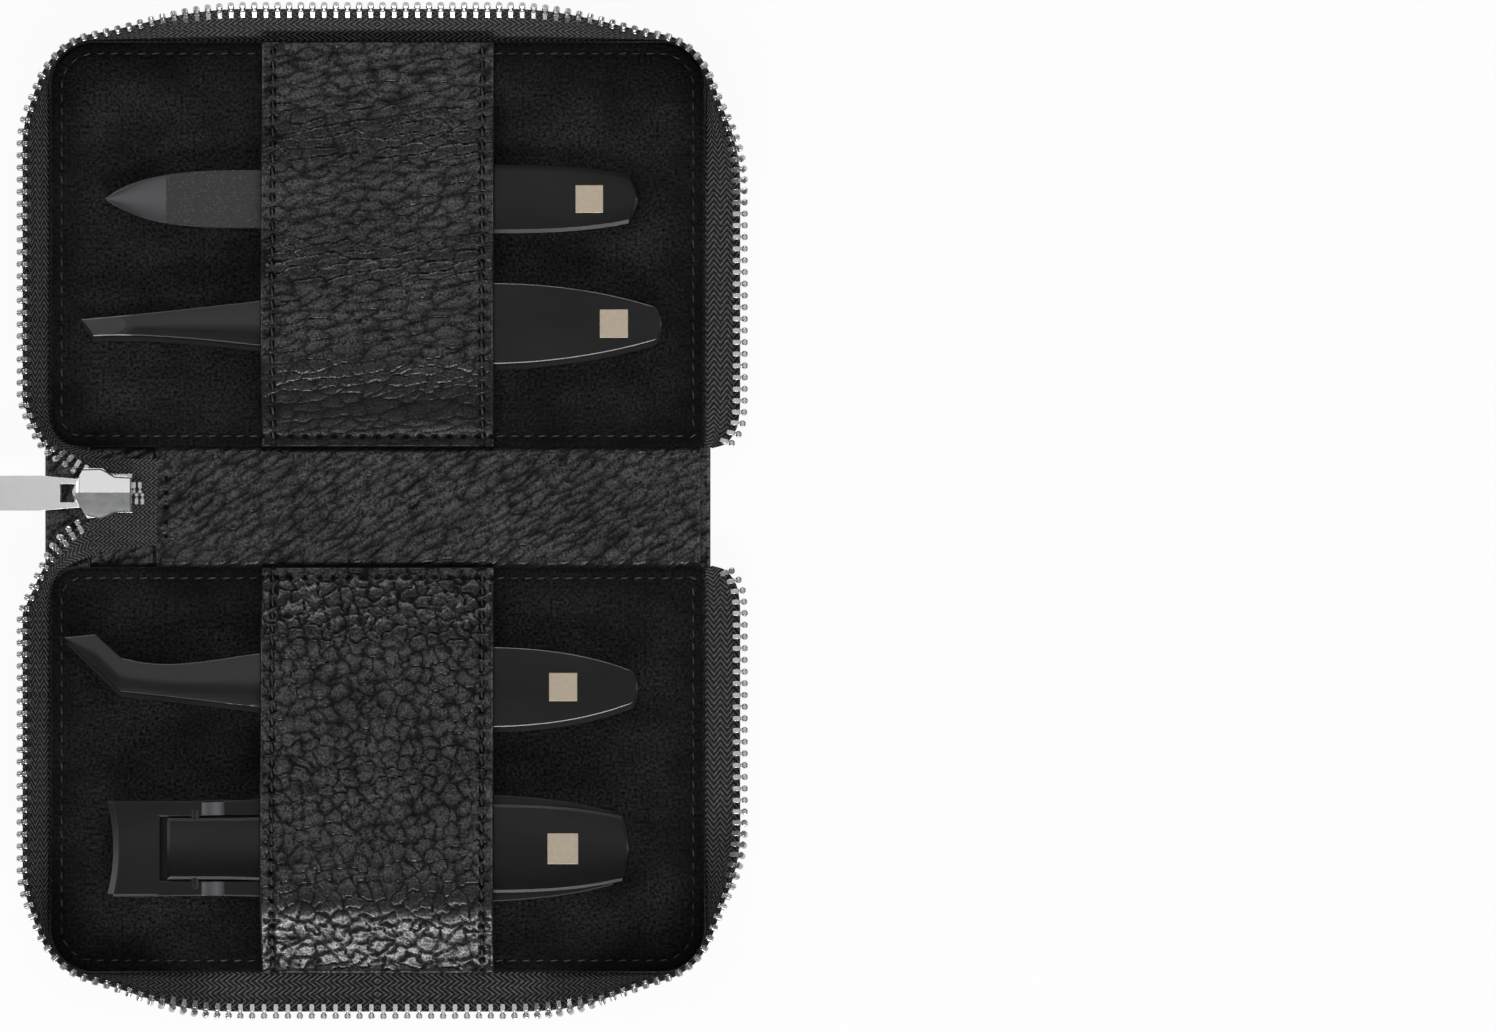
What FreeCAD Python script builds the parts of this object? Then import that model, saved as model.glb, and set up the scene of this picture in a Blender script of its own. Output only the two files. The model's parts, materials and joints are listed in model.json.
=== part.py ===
import FreeCAD, Part
import math
import os
from FreeCAD import Vector

# Travel manicure set: a zip case lying open, with four tools under two straps.
# The origin is the centre of the spine's underside. X runs along the spine, Y points to the
# half that holds the nail file, and Z is up. Lengths are millimetres, angles degrees.

# Sheets of the case
leather_thickness = 1.2
board_thickness = 1.0
lining_thickness = 0.8
strap_thickness = 1.2
strap_end_thickness = 0.6
strap_length = 37.2
strap_shift = 0.1
strap_slope_share = 1.5
card_thickness = 0.7
facing_thickness = 1.7
leather_rim = 1.0
board_inset = 1.5
lining_corner_radius = 7.0
case_end_room = 5.95

# Clearances
bed_clearance = 0.12
strap_clearance = 0.15
closed_room = 1.86
fold_clearance = 0.06
fold_room = 0.8
flap_clearance = 0.3
fit_clearance = 0.02
pin_clearance = 0.04
rivet_clearance = 0.06
pull_clearance = 0.15
overrun = 2.0

# Nail file
file_length = 85.2
file_width = 10.9
file_thickness = 1.5
file_grit_thickness = 0.15
file_shift = -0.8
file_end_bulge = 1.6
file_far_room = 19.6
file_inlay = 4.4
file_edge_shares = ((0.0, 0.03), (0.03, 0.16), (0.12, 0.36), (0.3, 0.42), (0.73, 0.5), (0.9, 0.45),
                    (0.98, 0.36))
file_grit_shares = (0.115, 0.5)
file_inlay_share = 0.907

# Slanted tweezers
tweezer_length = 92.5
tweezer_width = 13.1
tweezer_spread = 4.0
tweezer_arm_thickness = 0.9
tweezer_tip_gap = 1.2
tweezer_shift = -0.85
tweezer_near_room = 13.1
tweezer_lane_gap = 7.9
tweezer_lower_arm_offset = 0.9
tweezer_end_bulge = 0.9
tweezer_inlay = 4.5
tweezer_upper_shares = ((0.0, 0.05), (0.11, 0.122), (0.31, 0.275), (0.55, 0.44), (0.72, 0.49),
                        (0.87, 0.4), (0.99, 0.2))
tweezer_lower_shares = ((0.011, -0.155), (0.11, -0.15), (0.31, -0.272), (0.55, -0.44), (0.72, -0.49),
                        (0.87, -0.39), (0.99, -0.2))
tweezer_inlay_share = 0.918
arm_weld_share = 0.87

# Angled tweezers
angled_length = 91.4
angled_width = 13.0
angled_shift = -4.1
angled_near_room = 12.6
angled_lane_gap = 10.7
angled_end_bulge = 0.9
angled_inlay = 4.5
angled_tip_shares = ((0.0, 0.608), (0.055, 0.646))
angled_upper_shares = ((0.1, 0.36), (0.139, 0.3), (0.338, 0.41), (0.55, 0.475), (0.748, 0.49), (0.87, 0.42),
                       (0.99, 0.2))
angled_lower_shares = ((0.096, -0.054), (0.338, -0.25), (0.55, -0.42), (0.748, -0.49), (0.87, -0.42),
                       (0.99, -0.2))
angled_inlay_share = 0.87

# Nail clipper
clipper_length = 82.0
clipper_width = 17.0
clipper_jaw_width = 15.2
clipper_shift = -1.9
clipper_plate_thickness = 1.2
clipper_arm_gap = 0.15
clipper_rail_step = 1.9
clipper_jaw_dip = 1.0
clipper_bevel = 1.1
clipper_window_width = 10.2
clipper_window_start = 8.4
clipper_window_length = 40.0
clipper_bend_start = 15.2
clipper_bend_length = 3.4
clipper_lever_start = 9.6
clipper_lever_overhang = 1.5
clipper_lever_root_width = 9.7
clipper_lever_width = 14.1
clipper_lever_rise = 0.15
clipper_pin_place = 14.0
clipper_pin_radius = 0.8
clipper_knuckle_radius = 1.3
clipper_rivet_radius = 1.4
clipper_rivet_inset = 6.0
clipper_end_bulge = 0.9
clipper_jaw_lip = 4.5
clipper_jaw_gap = 0.15
clipper_open_angle = 0.6
clipper_inlay = 4.9
clipper_base_shares = ((0.1, 0.447), (0.24, 0.447), (0.5, 0.49), (0.75, 0.5), (0.9, 0.43),
                       (0.985, 0.34))
clipper_lever_shares = ((0.2, 0.345), (0.36, 0.38), (0.6, 0.49), (0.72, 0.5), (0.9, 0.46),
                        (0.985, 0.36))
clipper_inlay_share = 0.885
inlay_depth = 0.3

# Zip
tape_thickness = 0.6
tape_axis_gap = 0.5
tooth_length = 2.4
tooth_grip = 1.1
tooth_width = 0.95
tooth_thickness = 2.0
tooth_pitch = 1.89
teeth_closed_gap = 0.6
corner_axis_radius = 7.5
corner_stub = 1.0
left_flap_start = 9.2
right_flap_start = 2.2
left_flap_lean = 53.0
right_flap_lean = 0.0
top_far_flap_lean = 39.0
bottom_far_flap_lean = 4.0

# Spine, zip end and slider
facing_half_width = 5.4
facing_start = 16.8
facing_end_gap = 1.0
end_tape_thickness = 0.5
end_tape_sewn = 4.0
end_tape_start = 6.4
zip_line = 2.2
end_tooth_width = 4.2
end_tooth_thickness = 0.65
slider_seat = 0.05
slider_start = 3.7
slider_length = 9.4
slider_width = 8.0
slider_plate = 0.8
slider_channel = 1.9
slider_channel_width = 5.0
slider_flange = 0.6
slider_flange_height = 0.45
slider_post_inset = 0.3
slider_post_length = 2.1
slider_post_width = 1.6
crown_height = 2.5
crown_eave_height = 1.5
crown_nose_width = 2.4
crown_upper_shares = ((0.0, 0.05), (0.18, 0.5), (0.5, 0.5), (0.65, 0.36), (1.0, 0.33))
crown_lower_shares = ((0.0, -0.05), (0.24, -0.5), (0.5, -0.48), (0.65, -0.36), (1.0, -0.36))

# Pull tab and its leather cord
pull_pin_radius = 0.6
pull_pin_place = 0.9
pull_pin_height = 1.15
pull_length = 21.5
pull_eye_width = 4.6
pull_width = 5.6
pull_thickness = 1.5
pull_slot_width = 2.9
pull_slot_length = 2.8
pull_bar = 2.8
cord_width = 3.8
cord_layer = 1.4
cord_length = 33.7
cord_slant = 5.0
cord_loop_inner = 1.75
cord_loop_wall = 1.1
cord_floor_gap = 0.05
cord_clearance = 0.2

# Badge let into the cover
badge_size = 6.7
badge_thickness = 0.5
badge_side_room = 14.2
badge_far_room = 13.2

# Levels and lines that follow from the sizes
stack = leather_thickness + board_thickness + lining_thickness
bed = stack + bed_clearance
fold_height = leather_thickness / 2
file_height = bed_clearance + file_thickness + 2 * file_grit_thickness
clipper_end = clipper_shift + clipper_length / 2
clipper_rise = (clipper_length - clipper_lever_start) * math.sin(math.radians(clipper_open_angle))
clipper_height = (bed_clearance + 2 * clipper_plate_thickness + clipper_arm_gap + clipper_rail_step
                  + clipper_plate_thickness / 2 + clipper_lever_rise + clipper_rise)
tweezer_height = bed_clearance + tweezer_spread
strap_room = strap_thickness + strap_clearance
inner_gap = max(clipper_height + file_height, 2 * tweezer_height) + 2 * strap_room + closed_room
fold_line = inner_gap / 2 + stack - fold_height
near_line = fold_line + fold_room
tweezer_line = near_line + tweezer_near_room + tweezer_width / 2
file_line = tweezer_line + tweezer_width / 2 + tweezer_lane_gap + file_width / 2
far_line = file_line + file_width / 2 + file_far_room
angled_line = near_line + angled_near_room + angled_width / 2
clipper_line = angled_line + angled_width / 2 + angled_lane_gap + clipper_width / 2
side_line = tweezer_length / 2 + case_end_room
tape_axis_height = leather_thickness + board_thickness - tape_thickness / 2
tape_reach = inner_gap / 2 + stack - tape_axis_height - teeth_closed_gap / 2
tape_width = tape_reach - tooth_length + tooth_grip
side_axis = side_line + tape_axis_gap
far_axis = far_line + tape_axis_gap
corner_start = far_axis - corner_axis_radius - corner_stub
corner_side = side_axis - corner_axis_radius - corner_stub

X = Vector(1, 0, 0)
Y = Vector(0, 1, 0)
Z = Vector(0, 0, 1)
HERE = Vector(0, 0, 0)
quarter = math.degrees(math.pi / 2)


def block(x, y, z):
    """Box between two values on each axis."""
    low = Vector(min(x), min(y), min(z))
    return Part.makeBox(max(x) - low.x, max(y) - low.y, max(z) - low.z, low)


def bar(radius, y, x, z):
    """Round bar along Y."""
    return Part.makeCylinder(radius, max(y) - min(y), Vector(x, min(y), z), Y)


def side_profile(points, y):
    """Straight-sided outline in XZ, drawn out along Y."""
    wire = Part.makePolygon([Vector(x, min(y), z) for x, z in points + points[:1]])
    return Part.Face(wire).extrude(Y * (max(y) - min(y)))


def plan(points, z):
    """Straight-sided outline in XY, drawn out along Z."""
    wire = Part.makePolygon([Vector(x, y, min(z)) for x, y in points + points[:1]])
    return Part.Face(wire).extrude(Z * (max(z) - min(z)))


def smooth(points):
    """One smooth edge through the points."""
    curve = Part.BSplineCurve()
    curve.interpolate(points)
    return curve.toShape()


def line(a, b):
    return Part.LineSegment(a, b).toShape()


def tool_plate(upper, lower, bulge, z, front=()):
    """Plate between an upper and a lower edge, with a bowed end and an optional pointed front."""
    lift = Vector(0, 0, min(z))
    upper, lower, front = ([Vector(x, y, 0) + lift for x, y in row] for row in (upper, lower, front))
    corners = [lower[0], *front, upper[0]]
    middle = (upper[-1] + lower[-1]) / 2 + X * bulge
    edges = [line(a, b) for a, b in zip(corners, corners[1:])]
    edges += [smooth(upper), Part.Arc(upper[-1], middle, lower[-1]).toShape(), smooth(lower[::-1])]
    return Part.Face(Part.Wire(Part.__sortEdges__(edges))).extrude(Z * (max(z) - min(z)))


def along(shares, length, width, start, centre):
    """Points at shares of a tool's length and width."""
    return [(start + length * a, centre + width * b) for a, b in shares]


def save(name, *solids):
    """Write one named piece, of one solid or of several."""
    shape = solids[0] if len(solids) == 1 else Part.makeCompound(list(solids))
    shape.exportStep("parts/" + name + ".step")


def turned(shape, axis, angle, place=HERE):
    copy = shape.copy()
    copy.rotate(place, axis, angle)
    return copy


def moved(shape, x=0, y=0, z=0):
    copy = shape.copy()
    copy.translate(Vector(x, y, z))
    return copy


def on_side(shape, side):
    """The shape itself for the upper half, its mirror image for the lower half."""
    return shape if side > 0 else shape.mirror(HERE, Y)


def round_panel(half_width, y, radius, z):
    """Panel with two rounded corners on its far edge."""
    panel = block((-half_width, half_width), y, z)
    middle = (min(y) + max(y)) / 2
    upright = [e for e in panel.Edges if e.BoundBox.ZLength == e.Length]
    return panel.makeFillet(radius, [e for e in upright if e.CenterOfMass.y > middle])


def cover_panel():
    """Leather of one half, hollowed along its near edge to turn round the spine's edge."""
    grip = fold_height + fold_clearance
    panel = round_panel(side_line + leather_rim, (fold_line, far_line + leather_rim),
                        lining_corner_radius + leather_rim, (0, leather_thickness))
    reach = side_line + leather_rim + overrun
    panel = panel.cut(block((-reach, reach), (fold_line, fold_line + grip), (fold_height, leather_thickness)))
    return panel.cut(Part.makeCylinder(grip, 2 * reach, Vector(-reach, fold_line, fold_height), X))


def tooth():
    """One tooth, straddling the tape's edge, which lies along X at the reach of the tape."""
    body = block((-tooth_width / 2, tooth_width / 2), (tape_reach - tooth_length, tape_reach),
                 (-tooth_thickness / 2, tooth_thickness / 2))
    slot = tape_thickness / 2 + fit_clearance
    cut = block((-tooth_width, tooth_width), (0, tape_width + fit_clearance), (-slot, slot))
    return body.cut(cut)


def flap(length):
    """Tape and teeth of a straight side, lying flat, with the sewn edge along X."""
    tape = block((0, length), (0, tape_width), (-tape_thickness / 2, tape_thickness / 2))
    tape = tape.fuse(Part.makeCylinder(tape_thickness / 2, length, HERE, X)).removeSplitter()
    count = int(length / tooth_pitch)
    first = (length - (count - 1) * tooth_pitch) / 2
    teeth = [moved(tooth(), first + i * tooth_pitch) for i in range(count)]
    return tape, Part.makeCompound(teeth)


def corner():
    """Upright tape and teeth of the right far corner, with a straight stub at each end."""
    centre = Vector(side_axis - corner_axis_radius, far_axis - corner_axis_radius, leather_thickness)
    height = tape_axis_height - leather_thickness + tape_width
    outer = Part.makeCylinder(corner_axis_radius + tape_thickness / 2, height, centre, Z, quarter)
    inner = Part.makeCylinder(corner_axis_radius - tape_thickness / 2, height, centre, Z, quarter)
    levels = (leather_thickness, leather_thickness + height)
    half = tape_thickness / 2
    right = block((side_axis - half, side_axis + half), (corner_start, centre.y), levels)
    far = block((corner_side, centre.x), (far_axis - half, far_axis + half), levels)
    tape = outer.cut(inner).fuse([right, far]).removeSplitter()
    upright = moved(turned(tooth(), X, quarter), z=tape_axis_height)
    arc = math.pi / 2 * corner_axis_radius
    count = int(arc / tooth_pitch)
    teeth = []
    for i in range(count):
        angle = quarter * (2 * i + 1) / (2 * count)
        spot = moved(upright, centre.x, centre.y + corner_axis_radius)
        teeth.append(turned(spot, Z, -angle, centre))
    return tape, Part.makeCompound(teeth)


def zip_side(kind, lean):
    """Flap of one side of the upper half, leaning up from flat by an angle."""
    if kind == "far":
        start, stop = -corner_side + flap_clearance, corner_side - flap_clearance
        turn, place = 0, Vector(start, far_axis, tape_axis_height)
    else:
        start = fold_line + (left_flap_start if kind == "left" else right_flap_start)
        stop = corner_start - flap_clearance
        turn = quarter if kind == "left" else -quarter
        place = Vector(-side_axis, start, tape_axis_height)
        if kind == "right":
            place = Vector(side_axis, stop, tape_axis_height)
    shapes = [turned(turned(s, X, lean), Z, turn) for s in flap(stop - start)]
    return [moved(s, *place) for s in shapes]


def strap(tools, ends, near, far):
    """Strap over two tools, each given as its near edge, far edge and top."""
    low = [(near, stack)]
    for number, (first, last, top) in enumerate(tools):
        level = top + strap_clearance
        slope = strap_slope_share * (top - stack)
        if number == 0:
            low.append((first - slope, stack))
        low += [(first - strap_clearance, level), (last + strap_clearance, level)]
    low += [(last + slope, stack), (far, stack)]
    high = []
    for number, (y, z) in enumerate(low):
        at_end = number in (0, len(low) - 1)
        high.append((y, z + (strap_end_thickness if at_end else strap_thickness)))
    points = low + high[::-1]
    wire = Part.makePolygon([Vector(ends[0], y, z) for y, z in points + points[:1]])
    return Part.Face(wire).extrude(X * (ends[1] - ends[0]))


def straps():
    """Both straps, each over the two tools of its half."""
    def lane(centre, width, height, near_extra=0, far_extra=0):
        return centre - width / 2 - near_extra, centre + width / 2 + far_extra, stack + height

    ends = (strap_shift - strap_length / 2, strap_shift + strap_length / 2)
    top = [lane(tweezer_line, tweezer_width, tweezer_height, tweezer_lower_arm_offset),
           lane(file_line, file_width, file_height)]
    tip = max(share for _, share in angled_tip_shares) * angled_width - angled_width / 2
    bottom = [lane(angled_line, angled_width, tweezer_height, tip, tweezer_lower_arm_offset),
              lane(clipper_line, clipper_width, clipper_height)]
    save("top_strap", strap(top, ends, near_line, far_line))
    save("bottom_strap", on_side(strap(bottom, ends, near_line, far_line), -1))


def half(name, side, far_lean):
    """Leather, board, lining and zip of one half."""
    cover = cover_panel()
    if side > 0:
        at = (side_line - badge_side_room, far_line - badge_far_room)
        pocket = badge_thickness + fit_clearance
        hole = badge_size / 2 + fit_clearance
        spot = [(c - hole, c + hole) for c in at]
        cover = cover.cut(block(spot[0], spot[1], (0, pocket)))
        plate = [(c - badge_size / 2, c + badge_size / 2) for c in at]
        save("cover_badge", block(plate[0], plate[1], (fit_clearance, pocket)))
    save(name + "_cover", on_side(cover, side))
    board = round_panel(side_line - board_inset, (near_line, far_line - board_inset),
                        lining_corner_radius - board_inset, (leather_thickness, stack - lining_thickness))
    save(name + "_board", on_side(board, side))
    lining = round_panel(side_line, (near_line, far_line), lining_corner_radius,
                         (stack - lining_thickness, stack))
    save(name + "_lining", on_side(lining, side))
    for kind, lean in (("left", left_flap_lean), ("far", far_lean), ("right", right_flap_lean)):
        tape, teeth = zip_side(kind, lean)
        save(name + "_zip_tape_" + kind, on_side(tape, side))
        save(name + "_zip_teeth_" + kind, on_side(teeth, side))
    tape, teeth = corner()
    pair = [(s, s.mirror(HERE, X)) for s in (tape, teeth)]
    save(name + "_zip_tape_corners", *[on_side(s, side) for s in pair[0]])
    save(name + "_zip_teeth_corners", *[on_side(s, side) for s in pair[1]])


def inlaid(plate, size, x, y, top):
    """Plate with a shallow square pocket, and the plain inlay that fills it."""
    reach = size / 2 + fit_clearance
    pocket = block((x - reach, x + reach), (y - reach, y + reach), (top - inlay_depth, top + overrun))
    inlay = block((x - size / 2, x + size / 2), (y - size / 2, y + size / 2), (top - inlay_depth, top))
    return plate.cut(pocket), inlay


def nail_file():
    start = file_shift - file_length / 2
    floor = bed + file_grit_thickness
    top = floor + file_thickness
    upper = along(file_edge_shares, file_length, file_width, start, file_line)
    lower = [(x, 2 * file_line - y) for x, y in upper]
    body = tool_plate(upper, lower, file_end_bulge, (floor, top))
    zone = [start + file_length * s for s in file_grit_shares]
    reach = (file_line - file_width, file_line + file_width)
    layers = []
    for level in ((top, top + file_grit_thickness), (bed, floor)):
        sheet = tool_plate(upper, lower, file_end_bulge, level)
        layers.append(sheet.common(block(zone, reach, level)))
    save("file_grit", *layers)
    place = start + file_length * file_inlay_share
    body, inlay = inlaid(body, file_inlay, place, file_line, top)
    save("file_body", body)
    save("file_inlay", inlay)


def sprung_arms(name, outlines, start, length, inlay, inlay_share, centre):
    """Two bowed arms that meet at the rear end."""
    middle = bed + tweezer_spread / 2
    peak = tweezer_spread / 2 - tweezer_arm_thickness
    slope = math.sqrt((peak - tweezer_tip_gap / 2) / peak)
    weld = start + length * arm_weld_share
    belly = start + length * arm_weld_share * slope / (1 + slope)
    tip, end = start, start + length + overrun
    for arm, sign in (("upper", 1), ("lower", -1)):
        rows = []
        for extra in (0, tweezer_arm_thickness):
            gaps = (tweezer_tip_gap / 2, peak, 0)
            rows.append([Vector(x, 0, middle + sign * (g + extra)) for x, g in zip((tip, belly, weld), gaps)])
        inner, outer = rows
        far = [Vector(end, 0, row[-1].z) for row in rows]
        edges = [Part.Arc(*inner).toShape(), line(inner[-1], far[0]), line(far[0], far[1]),
                 line(far[1], outer[-1]), Part.Arc(*outer[::-1]).toShape(), line(outer[0], inner[0])]
        reach = 2 * tweezer_width + 2 * angled_width
        bowed = moved(Part.Face(Part.Wire(edges)).extrude(Y * 2 * reach), y=centre - reach)
        body = bowed.common(outlines[arm])
        if arm == "upper":
            top = middle + tweezer_arm_thickness
            body, square = inlaid(body, inlay, start + length * inlay_share, centre, top)
            save(name + "_inlay", square)
        save(name + "_" + arm + "_arm", body)


def slanted_tweezers():
    start = tweezer_shift - tweezer_length / 2
    depth = (bed - overrun, bed + tweezer_spread + overrun)
    outlines = {}
    for arm, offset in (("upper", 0), ("lower", -tweezer_lower_arm_offset)):
        sides = [along(s, tweezer_length, tweezer_width, start, tweezer_line + offset)
                 for s in (tweezer_upper_shares, tweezer_lower_shares)]
        outlines[arm] = tool_plate(*sides, tweezer_end_bulge, depth)
    sprung_arms("tweezer", outlines, start, tweezer_length, tweezer_inlay, tweezer_inlay_share, tweezer_line)


def angled_tweezers():
    start = angled_shift - angled_length / 2
    depth = (bed - overrun, bed + tweezer_spread + overrun)
    outlines = {}
    for arm, offset in (("upper", 0), ("lower", -tweezer_lower_arm_offset)):
        rows = [along(s, angled_length, angled_width, start, -angled_line + offset)
                for s in (angled_upper_shares, angled_lower_shares, angled_tip_shares)]
        outlines[arm] = tool_plate(rows[0], rows[1], angled_end_bulge, depth, rows[2])
    sprung_arms("angled_tweezer", outlines, start, angled_length, angled_inlay, angled_inlay_share,
                -angled_line)


def clipper():
    end = clipper_end
    start = end - clipper_length
    t = clipper_plate_thickness
    lower = (bed, bed + t)
    rear = (lower[1] + clipper_arm_gap, lower[1] + clipper_arm_gap + t)
    jaw = (rear[0] + clipper_rail_step, rear[1] + clipper_rail_step)
    edge = along(clipper_base_shares, clipper_length, clipper_width, start, -clipper_line)
    other = [(x, -2 * clipper_line - y) for x, y in edge]
    ends = (-clipper_line - clipper_jaw_width / 2, -clipper_line + clipper_jaw_width / 2)
    reach = (-clipper_line - clipper_width, -clipper_line + clipper_width)
    tall = (lower[0] - overrun, jaw[1] + overrun)
    body = tool_plate(edge, other, clipper_end_bulge, tall)
    body = body.fuse(block((start, edge[0][0] + overrun), ends, tall)).removeSplitter()
    arc_radius = (clipper_jaw_width ** 2 / 4 + clipper_jaw_dip ** 2) / (2 * clipper_jaw_dip)
    scoop = Part.makeCylinder(arc_radius, tall[1] - tall[0],
                              Vector(start + clipper_jaw_dip - arc_radius, -clipper_line, tall[0]), Z)
    body = body.cut(scoop)
    lip = start + clipper_jaw_lip
    edge_level = (lower[1] + jaw[0] - clipper_jaw_gap) / 2
    low_side = [(start, edge_level - t / 2), (start, edge_level), (start + clipper_bevel, edge_level),
                (lip, lower[1]), (end + overrun, lower[1]), (end + overrun, lower[0]), (lip, lower[0])]
    pin = (start + clipper_pin_place, (jaw[0] + jaw[1]) / 2)
    rivet_x = end - clipper_rivet_inset
    lower_arm = side_profile(low_side, reach).common(body)
    rivet_foot = Vector(rivet_x, -clipper_line, lower[0])
    save("clipper_lower_arm", lower_arm.cut(Part.makeCylinder(clipper_rivet_radius, t, rivet_foot, Z)))
    save("clipper_rivet", Part.makeCylinder(clipper_rivet_radius, rear[1] - lower[0], rivet_foot, Z))
    bend = (start + clipper_bend_start, start + clipper_bend_start + clipper_bend_length)
    top_edge = edge_level + clipper_jaw_gap
    high_side = [(start, top_edge), (start, top_edge + t / 2), (start + clipper_bevel, jaw[1]),
                 (bend[0], jaw[1]), (bend[1], rear[1]), (end + overrun, rear[1]), (end + overrun, rear[0]),
                 (bend[1], rear[0]), (bend[0], jaw[0]), (lip, jaw[0]), (start + clipper_bevel, top_edge)]
    upper_arm = side_profile(high_side, reach).common(body)
    window = (start + clipper_window_start, start + clipper_window_start + clipper_window_length)
    gap = (-clipper_line - clipper_window_width / 2, -clipper_line + clipper_window_width / 2)
    upper_arm = upper_arm.cut(block(window, gap, tall))
    hole = clipper_rivet_radius + rivet_clearance
    upper_arm = upper_arm.cut(Part.makeCylinder(hole, t + 2 * overrun,
                                                Vector(rivet_x, -clipper_line, rear[0] - overrun), Z))
    pin_ends = (ends[0] + t, ends[1] - t)
    heel = Vector(end, -clipper_line, rear[0])
    cross_pin = bar(clipper_pin_radius, pin_ends, *pin)
    save("clipper_upper_arm", turned(upper_arm.cut(cross_pin), Y, clipper_open_angle, heel))
    save("clipper_pin", turned(cross_pin, Y, clipper_open_angle, heel))
    floor = pin[1] + clipper_lever_rise
    top = floor + t
    edge = along(clipper_lever_shares, clipper_length, clipper_lever_width, start, -clipper_line)
    edge[-1] = (edge[-1][0] + clipper_lever_overhang, edge[-1][1])
    other = [(x, -2 * clipper_line - y) for x, y in edge]
    root = (-clipper_line - clipper_lever_root_width / 2, -clipper_line + clipper_lever_root_width / 2)
    nose = start + clipper_lever_start
    lever = tool_plate(edge, other, clipper_end_bulge, (floor, top))
    lever = lever.fuse([block((nose, edge[0][0] + overrun), root, (floor, top)),
                        bar(clipper_knuckle_radius, root, *pin)]).removeSplitter()
    lever = lever.cut(bar(clipper_pin_radius + pin_clearance, reach, *pin))
    place = start + clipper_length * clipper_inlay_share
    lever, inlay = inlaid(lever, clipper_inlay, place, -clipper_line, top)
    save("clipper_lever", turned(lever, Y, clipper_open_angle, heel))
    save("clipper_inlay", turned(inlay, Y, clipper_open_angle, heel))


def spine():
    """Leather, card and padded facing of the spine, and the zip's sewn end."""
    reach = side_line + leather_rim
    leather = block((-reach, reach), (-fold_line, fold_line), (0, leather_thickness))
    edges = [Part.makeCylinder(fold_height, 2 * reach, Vector(-reach, s * fold_line, fold_height), X)
             for s in (1, -1)]
    save("spine_leather", leather.fuse(edges).removeSplitter())
    sides = (-facing_half_width, facing_half_width)
    ends = (-side_line + facing_start, side_line - facing_end_gap)
    card = (leather_thickness, leather_thickness + card_thickness)
    save("spine_card", block(ends, sides, card))
    facing = block(ends, sides, (card[1], card[1] + facing_thickness))
    level = leather_thickness + slider_seat + slider_plate + slider_channel / 2
    tape = (level - end_tape_thickness / 2, level + end_tape_thickness / 2)
    sewn = (-side_line + end_tape_start, ends[0] + end_tape_sewn)
    pocket = (tape[0] - fit_clearance, tape[1] + fit_clearance)
    across = (sides[0] - overrun, sides[1] + overrun)
    save("spine_facing", facing.cut(block((ends[0] - overrun, sewn[1] + fit_clearance), across, pocket)))
    save("zip_end_tape", block(sewn, sides, tape))
    middle = (zip_line - end_tooth_width / 2, zip_line + end_tooth_width / 2)
    teeth = []
    count = int((ends[0] - sewn[0]) / tooth_pitch)
    for i in range(count):
        spot = sewn[0] + tooth_pitch * i
        for base in (tape[1], tape[0] - end_tooth_thickness):
            teeth.append(block((spot, spot + tooth_width), middle, (base, base + end_tooth_thickness)))
    save("zip_end_teeth", *teeth)


def slider():
    """Slider body round the zip line, its crown, the pull tab and the leather cord."""
    start = -side_line + slider_start
    base = leather_thickness + slider_seat
    roof_level = base + slider_plate + slider_channel
    plates = [(base, base + slider_plate), (roof_level, roof_level + slider_plate)]
    upper = along(crown_upper_shares, slider_length, slider_width, start, zip_line)
    lower = along(crown_lower_shares, slider_length, slider_width, start, zip_line)
    outline = upper + lower[::-1]
    body = [plan(outline, z) for z in plates]
    post_start = start + slider_post_inset
    post_sides = (zip_line - slider_post_width / 2, zip_line + slider_post_width / 2)
    body.append(block((post_start, post_start + slider_post_length), post_sides, (plates[0][1], roof_level)))
    rear = (start + slider_length / 2, start + slider_length)
    for sign in (1, -1):
        inside = slider_channel_width / 2
        wall = (zip_line + sign * inside, zip_line + sign * (inside + slider_flange))
        body.append(block(rear, wall, (plates[0][1], plates[0][1] + slider_flange_height)))
        body.append(block(rear, wall, (roof_level - slider_flange_height, roof_level)))
    save("slider_body", body[0].fuse(body[1:]).removeSplitter())
    top = plates[1][1]
    crown = plan(outline, (top, top + crown_height))
    half_width = slider_width / 2
    eave = top + crown_eave_height
    roof = [(-half_width, top), (half_width, top), (half_width, eave), (0, top + crown_height),
            (-half_width, eave)]
    wire = Part.makePolygon([Vector(start - overrun, zip_line + y, z) for y, z in roof + roof[:1]])
    crown = crown.common(Part.Face(wire).extrude(X * (slider_length + 2 * overrun)))
    for sign in (1, -1):
        arm = (zip_line + sign * crown_nose_width / 2, zip_line + sign * slider_width)
        trim = pull_pin_place + pull_thickness / 2 + pull_clearance
        crown = crown.cut(block((start - overrun, start + trim), arm, (top, top + crown_height)))
    pin = (start + pull_pin_place, top + pull_pin_height)
    across = (zip_line - slider_width, zip_line + slider_width)
    crown = crown.cut(bar(pull_pin_radius + pin_clearance, across, *pin))
    save("slider_crown", crown)
    pull(pin)


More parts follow.
